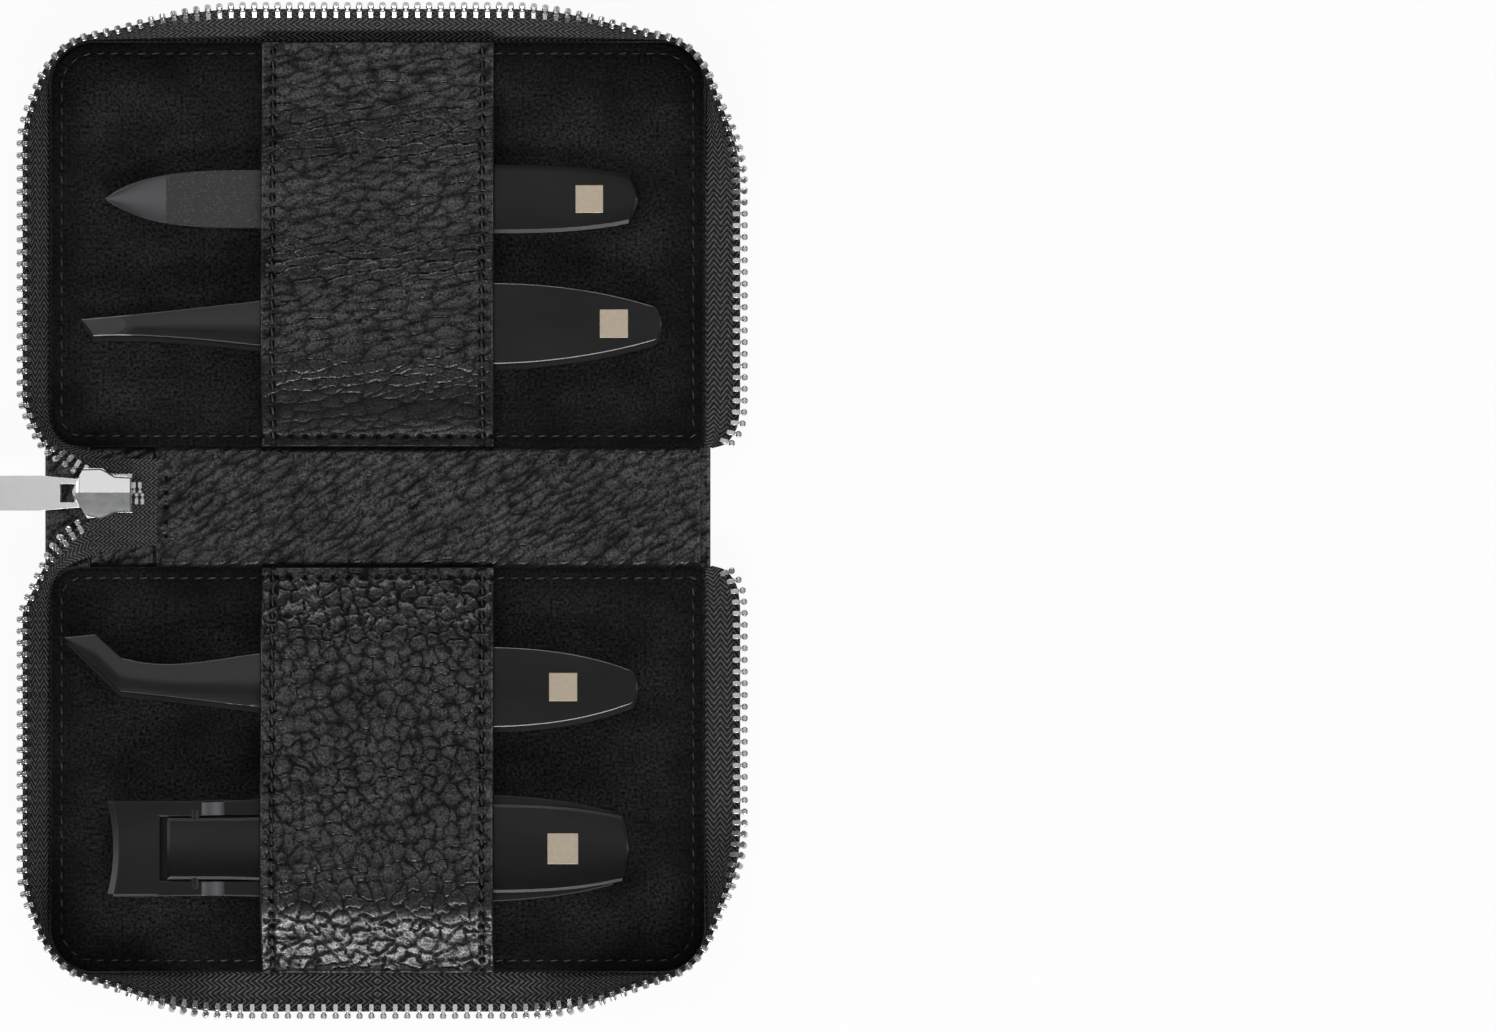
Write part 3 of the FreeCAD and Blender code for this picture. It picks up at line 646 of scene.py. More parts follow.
def smooth_line(points, count):
    """Catmull-Rom line through given points."""
    points = np.asarray(points, dtype=float)
    padded = np.concatenate([[2 * points[0] - points[1]], points, [2 * points[-1] - points[-2]]])
    out = []
    for t in np.linspace(0, len(points) - 1, count):
        i = min(int(t), len(points) - 2)
        f = t - i
        a, b, c, d = padded[i:i + 4]
        out.append(0.5 * (2 * b + (c - a) * f + (2 * a - 5 * b + 4 * c - d) * f ** 2
                          + (3 * b - a - 3 * c + d) * f ** 3))
    return np.array(out)


def stitch_row(name, line, normal, length, thick, pitch, yaw=0.0):
    """Stitches along a line of points, lying on a surface with the given normals."""
    run = run_along(line)
    count = max(2, int(round(run[-1] / pitch)))
    at = (np.arange(count) + 0.5) * run[-1] / count
    spots, ahead, behind = (values_at(at + step, run, line) for step in (0.0, 0.1, -0.1))
    turns = []
    for a, b, c in zip(behind, ahead, spots):
        up = Vector(normal(c))
        along = Vector(b - a).normalized()
        along = (along - up * along.dot(up)).normalized()
        if yaw:
            along.rotate(Matrix.Rotation(math.radians(yaw), 3, up))
        turns.append(matrix_of(along, up.cross(along), up))
    return stamped(name, spots, turns, STITCH, (length, thick, thick), THREAD)


# Camera, floor and light, in metres
CAMERA_HEIGHT, FRAME_WIDTH, SENSOR_WIDTH = 1.6, 0.2394, 36.0
FLOOR_REACH, FLOOR_DROP = 2.5, 0.0002
LAMPS = {"top_softbox": ((0.0, 0.2, 1.8), (1.5, 1.0), 4.4), "far_strip": ((-0.1, 1.0, 0.54), (1.1, 0.16), 4.2),
         "near_strip": ((0.05, -1.05, 0.49), (1.1, 0.22), 13.0), "left_strip": ((-0.95, 0.1, 0.6), (0.3, 0.9), 2.4),
         "right_strip": ((0.95, 0.0, 0.6), (0.3, 0.9), 2.6)}


def pale_floor():
    """Pale floor that shows white to the camera and keeps the object's shadow."""
    made = bpy.data.materials.new("pale_floor")
    made.use_nodes = True
    tree = made.node_tree
    flow = Flow(tree)
    straight, glossy, clear = (flow.node("LightPath", out=f"Is {ray} Ray")
                               for ray in ("Camera", "Glossy", "Transmission"))
    seen = flow.maths("MINIMUM", straight + glossy + clear, 1.0)
    paint = flow.node("BsdfDiffuse", {"Color": (0.86, 0.86, 0.86, 1.0)})
    glow = flow.node("Emission", {"Color": (1.0, 1.0, 1.0, 1.0), "Strength": 1.0})
    mixed = flow.node("MixShader", {0: seen * 0.93, 1: paint, 2: glow})
    tree.links.new(mixed.socket, tree.nodes["Material Output"].inputs["Surface"])
    mesh = bpy.data.meshes.new("floor")
    corners = [(x * FLOOR_REACH, y * FLOOR_REACH, 0) for x, y in ((-1, -1), (1, -1), (1, 1), (-1, 1))]
    mesh.from_pydata(corners, [], [(0, 1, 2, 3)])
    floor = new_piece("floor", mesh, made)
    floor.location.z = -FLOOR_DROP


def lamp(name, place, size, power):
    """Soft lamp that points at the middle of the set."""
    data = bpy.data.lights.new(name, "AREA")
    data.shape = "RECTANGLE"
    data.size, data.size_y = size
    data.energy = power
    made = new_piece(name, data)
    made.location = place
    made.rotation_euler = (Vector() - Vector(place)).to_track_quat("-Z", "Y").to_euler()


camera_data = bpy.data.cameras.new("camera")
camera_data.sensor_width = SENSOR_WIDTH
camera_data.lens = SENSOR_WIDTH * CAMERA_HEIGHT / FRAME_WIDTH
camera_data.clip_end = 10.0
camera = new_piece("camera", camera_data)
camera.location = (0.0592, -0.00144, CAMERA_HEIGHT)
bpy.context.scene.camera = camera
bpy.context.scene.view_settings.view_transform = "Standard"
pale_floor()
for lamp_name, (lamp_place, lamp_size, lamp_power) in LAMPS.items():
    lamp(lamp_name, lamp_place, lamp_size, lamp_power)
world = bpy.data.worlds.new("studio")
world.use_nodes = True
sky = world.node_tree.nodes["Background"].inputs
sky["Color"].default_value = (0.9, 0.92, 0.95, 1.0)
sky["Strength"].default_value = 0.12
bpy.context.scene.world = world


# Leather pull cord and its loop, first of the pieces
PULL_EYE = np.array([-68.9, 2.2, 2.9])
CORD_WIDTH, CORD_HEIGHT, CORD_SIDES = 3.8, 2.7, 28
LOOP_RADIUS, LOOP_STEPS, LOOP_SIDES = 2.3, 40, 16
LOOP_HALF_THICK, LOOP_HALF_WIDTH = 0.5, 1.75
CORD_ROUTE = ((-70.2, 2.2, 2.4), (-76.0, 2.3, 1.55), (-84.0, 2.05, 1.5), (-92.0, 2.35, 1.5), (-99.0, 2.1, 1.5),
              (-104.6, 2.2, 1.5))


def spline_points(name, route):
    """Points along the smooth line of a cord's route."""
    data = bpy.data.curves.new(name, "CURVE")
    data.dimensions = "3D"
    spline = data.splines.new("NURBS")
    spline.points.add(len(route) - 1)
    for point, place in zip(spline.points, route):
        point.co = (*place, 1.0)
    spline.order_u = 3
    spline.use_endpoint_u = True
    data.resolution_u = 24
    holder = new_piece(name, data)
    mesh = plain_mesh(holder)
    points = [v.co.copy() for v in mesh.vertices]
    bpy.data.objects.remove(holder)
    bpy.data.curves.remove(data)
    bpy.data.meshes.remove(mesh)
    return np.array(points)


def squared(value, power):
    """Sine or cosine, pushed outwards so that a round section grows squarer."""
    return math.copysign(abs(value) ** power, value)


def turns_of(count):
    """Even angles round a circle."""
    return [2 * math.pi * i / count for i in range(count)]


def cord_section(wobble):
    """Outline of the folded leather strip: two layers with a seam between them."""
    outline = []
    for angle in turns_of(CORD_SIDES):
        c, s = math.cos(angle), math.sin(angle)
        seam = 0.9 if abs(s) < 0.12 else 1.0
        outline.append((squared(c, 0.35) * CORD_WIDTH / 2 * (1 + wobble) * seam, squared(s, 0.45) * CORD_HEIGHT / 2))
    return outline


def cord_strip(line):
    """Folded strip along the cord's line, narrow at the loop and cut at a slant."""
    rows = []
    for i, place in enumerate(line):
        share = i / (len(line) - 1)
        wobble = 0.05 * math.sin(2.1 * i) * math.sin(0.37 * i) - 0.12 * smoothstep((0.12 - share) / 0.12)
        slant = smoothstep((share - 0.93) / 0.07)
        rows.append([(place[0] + slant * 1.6 * y / CORD_WIDTH, place[1] + y, place[2] + z)
                     for y, z in cord_section(wobble)])
    rows = np.array(rows)
    index = numbers(rows)
    faces = quads(index, round_columns=True) + [index[0].tolist(), index[-1][::-1].tolist()]
    x, y, z = rows.reshape(-1, 3).T
    grain = pebbles(x, y + z, 1.1, 1.5, 0.0, 21.0)
    return shell("pull_cord_strip", rows.reshape(-1, 3), faces, LEATHER, grain=grain, sharp=None)


def cord_loop():
    """Flat leather loop through the eye of the tab."""
    rows = []
    for turn in turns_of(LOOP_STEPS):
        out = np.array([math.cos(turn), 0, math.sin(turn)])
        radius = LOOP_RADIUS + 0.12 * math.sin(3 * turn)
        rows.append([PULL_EYE + out * (radius + LOOP_HALF_THICK * squared(math.sin(a), 0.6))
                     + np.array([0, LOOP_HALF_WIDTH * squared(math.cos(a), 0.5), 0]) for a in turns_of(LOOP_SIDES)])
    rows = np.array(rows)
    x, y, z = rows.reshape(-1, 3).T
    return shell("pull_cord_loop", rows.reshape(-1, 3), quads(numbers(rows), True, True), LEATHER,
                 grain=pebbles(x + z, y, 1.1, seed=23.0))


def pull_cord():
    line = resample(spline_points("cord_route", CORD_ROUTE), 0.5)
    cord = fit(cord_strip(line), "pull", ["pull_cord"])
    loop = fit(cord_loop(), "pull")


pull_cord()


# Panels of the case
LINING_CORNER, LINING_NEAR_CUT, LINING_SEAM = 7.0, 5.0, 1.75
COVER_HALF, COVER_FAR, COVER_CORNER, COVER_SEAM = SIDE + 1.0, FAR + 1.0, 8.0, 2.2
LEATHER_THICK = 1.2
FOLD_ZONE = 2.2
FACING_HALF, FLANK_END, FLANK_START = 5.0, NEAR + 0.25, -46.0
FACING_END = FACING_HIGH.x + 0.4


def panel_grid(half, near, far, radius, step, near_cut=0.0):
    """Grid of a panel with rounded far corners, and its distance in from the outline."""
    straight = np.linspace(near, far - radius, int((far - radius - near) / step) + 1)
    angles = np.linspace(0, math.pi / 2, int(radius * 1.6 / step) + 2)[1:]
    rows = np.concatenate([straight, far - radius + radius * np.sin(angles)])
    right = np.concatenate([np.full(len(straight), half), half - radius + radius * np.cos(angles)])
    left = -right + (edge_roll(rows - near, near_cut) if near_cut else 0.0)
    columns = int(2 * half / step)
    share = np.linspace(0, 1, columns)[None, :]
    x = left[:, None] * (1 - share) + right[:, None] * share
    y = np.repeat(rows[:, None], columns, axis=1)
    edge = np.minimum(np.minimum(half - np.abs(x), far - y), y - near)
    rounds = [(radius, np.abs(x) - (half - radius), y - (far - radius))]
    if near_cut:
        rounds.append((near_cut, -half + near_cut - x, near + near_cut - y))
    for corner, dx, dy in rounds:
        inside = corner - np.hypot(np.maximum(dx, 0), np.maximum(dy, 0))
        edge = np.where((dx > 0) & (dy > 0), np.minimum(edge, inside), edge)
    return x, y, np.maximum(edge, 0)


def panel_line(half, near, far, radius, inset, near_cut, z):
    """Closed line that runs round a panel at an inset from its edge."""
    h, n, f, r = half - inset, near + inset, far - inset, max(radius - inset, 0.5)
    c = max(near_cut - inset, 0.5)
    a, b = (np.linspace(0, math.pi / 2, count) for count in (10, 12))
    x = np.concatenate([-h + c * (1 - np.sin(a)), -h + r * (1 - np.cos(b)), h - r * (1 - np.sin(b)), [h, -h + c]])
    y = np.concatenate([n + c * (1 - np.cos(a)), f - r * (1 - np.sin(b)), f - r * (1 - np.cos(b)), [n, n]])
    return points_of(x, y, np.full(x.shape, z))


def sheet_grid(low, high, steps):
    """X and Y of a grid between two corners, with rows along X."""
    xs = np.linspace(low[0], high[0], int((high[0] - low[0]) / steps[0]))
    ys = np.linspace(low[1], high[1], int((high[1] - low[1]) / steps[1]) + 1)
    return np.meshgrid(xs, ys)


def lining(name, side):
    """Suede lining, soft at its edges and darkened towards them by painted shade, with a sunk row of stitches round it.
    """
    x, y, edge = panel_grid(SIDE, NEAR, FAR, LINING_CORNER, 0.45, LINING_NEAR_CUT)
    furrow = 0.16 * groove(edge - LINING_SEAM, 0.45)
    swell = 0.10 * (drift(x * 0.13, y * 0.13, 31 + side) - 0.5) * np.clip(edge / 4, 0, 1)
    top = BED - edge_roll(edge, 0.35) - furrow + swell
    # Painted shade: the suede darkens towards its border, carried in the grain attribute.
    painted_border_shade = np.clip(edge / 7, 0, 1) * 0.75 + 0.25
    piece = slab(name + "_suede", points_of(x, side * y, top), points_of(x, side * y, np.full(x.shape, BED - 0.8)),
                 SUEDE, grain=(painted_border_shade, painted_border_shade), plain_back=True)
    fit(piece, name + "_half", [name + "_lining"])
    line = panel_line(SIDE, NEAR, FAR, LINING_CORNER, LINING_SEAM, LINING_NEAR_CUT, BED - 0.12)
    line[:, 1] *= side
    row = stitch_row(name + "_lining_stitches", line, lambda c: (0, 0, 1), 1.35, 0.24, 2.2, yaw=7.0)
    fit(row, name + "_half")


def outer_grain(x, y, side):
    """Pebbles of the outer leather, as its gloss and as its deeper relief."""
    return (pebbles(x, y, 2.5, 1.15, -20.0, 41.0 + side, dome) for dome in (0.6, 1.5))


def cover(name, side):
    """Pebbled cover, seen from below, with a stitched border and rolled edges."""
    near = FOLD + FOLD_ZONE
    x, y, edge = panel_grid(COVER_HALF, near, COVER_FAR, COVER_CORNER, 0.34)
    rim = np.where(edge >= y - near - 1e-6, np.minimum(COVER_HALF - np.abs(x), COVER_FAR - y), edge)
    grain, relief = outer_grain(x, side * y, side)
    furrow = 0.14 * groove(rim - COVER_SEAM, 0.4)
    low = edge_roll(rim, 0.5) + 0.36 * (1 - relief) * np.clip(rim / 1.2, 0, 1) + furrow
    high = LEATHER_THICK - edge_roll(rim, 0.5)
    piece = slab(name + "_cover_leather", points_of(x, side * y, low), points_of(x, side * y, high), LEATHER,
                 grain=(grain, np.full(x.shape, 0.7)), plain_back=True)
    fit(piece, name + "_half", [name + "_cover"])
    line = panel_line(COVER_HALF, near - COVER_SEAM, COVER_FAR, COVER_CORNER, COVER_SEAM, 0.5, 0.1)[10:-1]
    line = np.concatenate([[(-COVER_HALF + COVER_SEAM, near, 0.1)], line])
    line[-1] = (COVER_HALF - COVER_SEAM, near, 0.1)
    line[:, 1] *= side
    row = stitch_row(name + "_cover_stitches", line, lambda c: (0, 0, -1), 1.9, 0.36, 2.5)
    fit(row, name + "_half")


def spine_leather():
    """Leather of the spine, and the strips at its two folds."""
    for name, side in (("spine_middle", 0), ("top_fold", 1), ("bottom_fold", -1)):
        reach = FOLD_ZONE if side else FOLD - FOLD_ZONE
        x, y = sheet_grid((-COVER_HALF, side * FOLD - reach), (COVER_HALF, side * FOLD + reach), (0.36, 0.36))
        rim = COVER_HALF - np.abs(x)
        flat = np.clip(rim / 1.2, 0, 1)
        grain, relief = outer_grain(x, y, side or 1)
        under = edge_roll(rim, 0.5) + 0.3 * (1 - relief) * flat
        inner = pebbles(x, y, 1.9, 2.0, 22.0, 45.0)
        over = LEATHER_THICK - edge_roll(rim, 0.5) - 0.12 * (1 - inner) * flat
        piece = slab(name + "_leather", points_of(x, y, under), points_of(x, y, over), LEATHER, grain=(grain, inner))
        fit_spine(piece, side, ["spine_leather"], side * (FOLD - FOLD_ZONE), side * (FOLD + FOLD_ZONE))


def facing_level(x, y):
    """Height of the soft leather over the spine: a low crown that dips to the linings."""
    share = np.abs(y) / FLANK_END
    body = FACING_HIGH.z - 0.15 - 0.12 * share ** 2 - 0.42 * smoothstep((share - 0.86) / 0.14)
    body += 0.22 * (drift(x * 0.16 + y * 0.12, y * 0.3, 57.0) - 0.5)
    open_end = smoothstep((FACING_LOW.x + 0.4 - x) / 1.2)
    low_part = 2.35 - 0.25 * share
    return body * (1 - open_end) + low_part * open_end


def spine_facing():
    """Leather over the spine: its middle rides on the spine, and its flanks reach into the halves."""
    for name, side, start, low, high in (("spine_pad", 0, FACING_LOW.x, -FACING_HALF, FACING_HALF),
                                         ("top_flank", 1, FLANK_START, FACING_HALF, FLANK_END),
                                         ("bottom_flank", -1, FLANK_START, -FLANK_END, -FACING_HALF)):
        x, y = sheet_grid((start, low), (FACING_END, high), (0.24, 0.22))
        grain = pebbles(x, y, 1.5, 2.7, 33.0, 51.0, cross=0.5)
        top = facing_level(x, y) - 0.36 * (1 - grain) - edge_roll(np.minimum(x - start, FACING_END - x), 0.6)
        if side:
            # Painted shade: the flank darkens towards its end by the lining's edge.
            grain *= 1 - 0.85 * smoothstep((np.abs(y) - FLANK_END + 1.1) / 0.7)
            base = top - 0.75
        else:
            holes = stitch_holes(x - start - 1.6, y, 2.4, 0.3)
            top -= 0.5 * holes
            # Painted shade: the colour darkens in the stitch holes.
            grain *= 1 - 0.95 * holes
            base = np.full(x.shape, FACING_LOW.z)
        piece = slab(name + "_leather", points_of(x, y, top), points_of(x, y, base), LEATHER,
                     grain=(grain, np.full(x.shape, 0.5)))
        fit_spine(piece, side, ["spine_facing"], side * FACING_HALF, side * FLANK_END)


for half_name, half_side in SIDES.items():
    lining(half_name, half_side)
    cover(half_name, half_side)
spine_leather()
spine_facing()


# Straps
STRAP_LOW, STRAP_HIGH = (corner.x for corner in node_box("top_strap"))
STRAP_THICK, STRAP_SEAM = 1.2, 1.9
STRAP_LINES = {
    "top": ((9.6, 3.0), (11.2, 3.1), (13.0, 3.95), (15.2, 4.95), (18.0, 5.95), (21.0, 6.85), (23.4, 7.4),
            (26.0, 7.5), (33.5, 7.48), (36.6, 7.1), (40.6, 5.85), (43.8, 5.3), (47.0, 5.25), (53.0, 5.25),
            (56.4, 4.85), (61.0, 3.75), (65.5, 3.12), (74.3, 3.0)),
    "bottom": ((9.6, 3.0), (11.0, 3.1), (13.6, 4.2), (17.0, 5.7), (19.6, 6.8), (21.8, 7.35), (24.5, 7.5),
               (34.5, 7.5), (38.5, 7.75), (43.0, 8.6), (46.4, 9.2), (50.0, 9.45), (57.0, 9.5), (60.4, 9.4),
               (63.4, 8.9), (66.4, 7.5), (69.4, 5.5), (71.8, 4.0), (73.2, 3.35), (74.3, 3.1)),
}
# Size, stretch, slant, seed and cross share of the grain, its depth, and how much of it the near end keeps
STRAP_LOOKS = {"top": (1.6, 2.6, 9.0, 61.0, 0.45, 0.36, 0.2), "bottom": (2.25, 1.05, -15.0, 67.0, 0.8, 0.4, 1.0)}
STITCH_PITCH = 2.15


def strap(name, side):
    """Leather strap over the tools, with rolled edges, stitched borders and a stitched near end."""
    line = resample(smooth_line([(0, y, z) for y, z in STRAP_LINES[name]], 240), 0.2)
    ahead = np.gradient(line, axis=0)
    ahead /= np.linalg.norm(ahead, axis=1)[:, None]
    up = points_of(np.zeros(len(line)), -ahead[:, 2], ahead[:, 1])
    run = run_along(line)
    xs = np.linspace(STRAP_LOW, STRAP_HIGH, int((STRAP_HIGH - STRAP_LOW) / 0.2))
    x, t = np.meshgrid(xs, run)
    border = np.minimum(x - STRAP_LOW, STRAP_HIGH - x)
    edge = np.minimum(border, np.minimum(t, run[-1] - t))
    size, stretch, slant, seed, cross, depth, calm = STRAP_LOOKS[name]
    grain = pebbles(x, t, size, stretch, slant, seed, cross=cross)
    pressed = calm + (1 - calm) * smoothstep((t - 5) / 9)
    holes = np.maximum(stitch_holes(border - STRAP_SEAM, t, STITCH_PITCH, 0.33),
                       stitch_holes(t - STRAP_SEAM, x, 2.3, 0.33))
    furrow = 0.16 * groove(border - STRAP_SEAM, 0.5) + 0.5 * holes
    waves = 0.25 * (drift(x * 0.09, t * 0.2, seed + 1) - 0.5) * np.clip(border / 4, 0, 1)
    relief = depth * (1 - grain) * pressed * np.clip(edge, 0.25, 1)
    worn_edge = np.clip(1 - np.abs(border - 0.25) / 0.3, 0, 1)
    # Painted shade: the grain value, and so the colour, drops in the stitch holes.
    grain = np.maximum(grain * (0.4 + 0.6 * pressed), worn_edge) * (1 - 0.9 * holes)
    thin_end = 0.4 * (1 - smoothstep((t - 6) / 16))
    height = STRAP_THICK - thin_end - edge_roll(edge, 0.45) - relief - furrow + waves * np.clip(t / 4, 0, 1)
    base = points_of(x, *(np.repeat(line[:, i:i + 1], len(xs), 1) for i in (1, 2)))
    lift = up[:, None, :]
    mirror = np.array([1, side, 1])
    piece = slab(name + "_strap_leather", (base + lift * height[..., None]) * mirror, (base + lift * 0.06) * mirror,
                 LEATHER, grain=(grain, np.full(x.shape, 0.4)), plain_back=True)
    fit(piece, name + "_half", [name + "_strap"])
    path = (line + up * (STRAP_THICK - 0.12 - thin_end[:, :1]))[4:-3] * mirror
    normals = up[4:-3] * mirror
    for number, place in enumerate((STRAP_LOW + STRAP_SEAM, STRAP_HIGH - STRAP_SEAM)):
        path[:, 0] = place
        row = stitch_row(f"{name}_strap_stitches_{number + 1}", path,
                         lambda c: normals[int(np.argmin(np.abs(path[:, 1] - c[1])))], 1.5, 0.36, STITCH_PITCH, 9.0)
        fit(row, name + "_half")


for half_name, half_side in SIDES.items():
    strap(half_name, half_side)


# Zip
TAPE_AXIS, FAR_AXIS = SIDE + 0.5, FAR + 0.5
TAPE_HEIGHT, TAPE_REACH, RIGHT_REACH = 1.9, 7.2, 6.5
TOOTH_PITCH, TOOTH_LENGTH = 1.89, 2.4
LEANS = {"left": 53.0, "right": 0.0, "top": 39.0, "bottom": 4.0}
CORNER_RADIUS = 7.5
CORNER_X, CORNER_Y = TAPE_AXIS - CORNER_RADIUS, FAR_AXIS - CORNER_RADIUS
CORNER_CUT = CORNER_RADIUS * math.sqrt(0.5)
LEFT_START, LEFT_MIDDLE = 17.0, 30.0
RIGHT_STOP = 16.0
SIDE_FULL = {"left": 58.0, "right": 46.0}
FAR_FULL = {"top": 21.0, "bottom": 19.0}
LEFT_BENDS = {
    "top": ((-52.7, 17.0, 1.9, -57.03, 17.0, 7.65), (-52.2, 13.4, 2.1, -55.4, 12.7, 7.2),
            (-50.6, 10.7, 2.3, -53.2, 8.9, 5.7), (-48.2, 9.4, 2.6, -50.5, 6.7, 4.0),
            (-45.9, 8.8, 2.9, -47.8, 4.7, 3.1), (-43.6, 8.4, 3.0, -44.8, 3.3, 3.0)),
    "bottom": ((-52.7, 17.0, 1.9, -57.03, 17.0, 7.65), (-52.3, 13.6, 2.1, -55.2, 13.0, 7.3),
               (-51.2, 10.8, 2.3, -53.5, 9.2, 6.4), (-49.2, 9.0, 2.6, -51.7, 5.6, 5.3),
               (-46.6, 7.9, 2.9, -49.2, 2.8, 4.0), (-44.4, 7.2, 3.0, -45.6, 0.5, 3.1)),
}
RIGHT_TUCK = ((52.7, 16.0, 1.9, 59.2, 16.0, 1.9), (52.7, 13.4, 1.9, 58.7, 12.6, 2.0),
              (52.6, 11.2, 2.0, 57.0, 9.9, 2.2), (52.4, 9.9, 2.1, 54.6, 8.9, 2.4))


def leaning(place, out, lean, reach):
    """Tip of the teeth from a place on the sewn edge, the way out, the lean in degrees and the reach."""
    turn = np.radians(lean)[:, None]
    rise = np.array([[0.0, 0.0, 1.0]])
    return place + np.asarray(reach)[..., None] * (np.cos(turn) * out + np.sin(turn) * rise)


def hand_lines(rows, count):
    """Sewn line and tip line through given rows, each with a sewn point and a tip."""
    rows = np.array(rows)
    return smooth_line(rows[:, :3], count), smooth_line(rows[:, 3:], count)


def zip_piece(name, sewn, tip, bend, tape_nodes=(), teeth_nodes=(), teeth_until=1.0):
    """Tape and teeth between a sewn line and the line of the teeth's tips."""
    reach = np.linalg.norm(tip - sewn, axis=1)
    out = (tip - sewn) / reach[:, None]
    ahead = np.gradient(sewn * 0.3 + tip * 0.7, axis=0)
    ahead -= out * (ahead * out).sum(1)[:, None]
    ahead /= np.linalg.norm(ahead, axis=1)[:, None]
    up = np.cross(ahead, out)
    run = run_along(tip)
    edge = (reach - TOOTH_LENGTH + 1.15) / reach
    shares = np.concatenate([[-0.06], np.linspace(0.0, 0.93, 12), [0.955, 0.98, 1.0]])
    across = (reach * edge)[:, None] * shares[None, :]
    thick = 0.12 + 0.12 * groove(shares - 0.97, 0.03)
    middle = sewn[:, None, :] + out[:, None, :] * across[..., None]
    half = up[:, None, :] * thick[None, :, None]
    uv = np.stack([np.repeat(run[:, None], len(shares), 1), across], -1)
    tape = slab(name + "_tape", middle + half, middle - half, TAPE, uv=uv)
    fit(tape, nodes=tape_nodes, bend=bend)
    count = max(1, int(round(run[-1] / TOOTH_PITCH)))
    at = (np.arange(count) + 0.5) * run[-1] / count
    at = at[at <= run[-1] * teeth_until]
    tips, ways, aheads = (values_at(at, run, values) for values in (tip, out, ahead))
    turns = []
    for a, o in zip(aheads, ways):
        y = Vector(o).normalized()
        x = Vector(a)
        x = (x - y * x.dot(y)).normalized()
        turns.append(matrix_of(x, y, x.cross(y)))
    teeth = stamped(name + "_teeth", tips - ways * TOOTH_LENGTH, turns, TOOTH, (1.0, 1.0, 1.0), TEETH)
    fit(teeth, nodes=teeth_nodes, bend=bend)


def rounded_run(hand, straight, far):
    """Sewn line and way out of half a rounded corner, with the straight that follows it."""
    angles = np.linspace(math.pi / 4, math.pi / 2 if far else 0, 12)
    out = points_of(np.cos(angles), np.sin(angles), 0 * angles)
    count = len(straight)
    x = np.concatenate([CORNER_X + CORNER_RADIUS * np.cos(angles), straight if far else np.full(count, TAPE_AXIS)])
    y = np.concatenate([CORNER_Y + CORNER_RADIUS * np.sin(angles), np.full(count, FAR_AXIS) if far else straight])
    out = np.concatenate([out, np.repeat(out[-1:], count, 0)])
    place = points_of(hand * x, y, np.full(x.shape, TAPE_HEIGHT))
    return place, out * np.array([hand, 1.0, 1.0]), x, y


def zip_half(name, side):
    """Whole zip of one half: bend from the slider, left side, far side and right side."""
    mirror = np.array([1.0, side, 1.0])
    half = name + "_half"

    def place(part, sewn, tip, bend, **more):
        zip_piece(f"{name}_zip_{part}", sewn * mirror, tip * mirror, bend, **more)

    def nodes(*parts):
        return {kind + "_nodes": [f"{name}_zip_{kind}_{part}" for part in parts] for kind in ("tape", "teeth")}

    place("left_bend", *hand_lines(LEFT_BENDS[name], 30),
          (half, "spine", (0, side * LEFT_START, 0), (0, side * 7.0, 0)), teeth_until=0.93)
    ys = np.linspace(LEFT_START, LEFT_MIDDLE, 14)
    sewn = points_of(np.full(14, -TAPE_AXIS), ys, np.full(14, TAPE_HEIGHT))
    tip = leaning(sewn, np.array([[-1.0, 0.0, 0.0]]), np.full(14, LEANS["left"]), np.full(14, TAPE_REACH))
    place("left_near", sewn, tip,
          (half, name + "_left_flap", (0, side * LEFT_START, 0), (0, side * LEFT_MIDDLE, 0)))
    cut_y, cut_x = CORNER_Y + CORNER_CUT, CORNER_X + CORNER_CUT
    for hand, word in ((-1, "left"), (1, "right")):
        full = SIDE_FULL[word]
        stop = LEFT_MIDDLE if hand < 0 else RIGHT_STOP
        sewn, out, x, y = rounded_run(hand, np.linspace(CORNER_Y, stop, 40)[1:], False)
        share = smoothstep((cut_y - y) / (cut_y - full))
        reach = TAPE_REACH - (TAPE_REACH - RIGHT_REACH) * share * (hand > 0)
        tip = leaning(sewn, out, 90 - (90 - LEANS[word]) * share, reach)
        if hand > 0:
            tuck = hand_lines(RIGHT_TUCK, 14)
            sewn, tip = (np.concatenate([line, end[1:]]) for line, end in zip((sewn, tip), tuck))
        place(word, sewn, tip, (half, f"{name}_{word}_flap", (0, side * cut_y, 0), (0, side * full, 0)),
              teeth_until=0.965 if hand > 0 else 1.0, **nodes(word))
        sewn, out, x, y = rounded_run(hand, np.linspace(CORNER_X, 0, 44)[1:], True)
        share = smoothstep((cut_x - x) / (cut_x - FAR_FULL[name]))
        tip = leaning(sewn, out, 90 - (90 - LEANS[name]) * share, np.full(len(x), TAPE_REACH))
        place("far_" + word, sewn, tip,
              (half, name + "_far_flap", (hand * cut_x, 0, 0), (hand * FAR_FULL[name], 0, 0)),
              **(nodes("far", "corners") if hand < 0 else {}))


for half_name, half_side in SIDES.items():
    zip_half(half_name, half_side)


WEAVE_LOW, WEAVE_HIGH = -5.8, 6.25
WEAVE_START, WEAVE_END = -46.5, FACING_LOW.x + 0.5


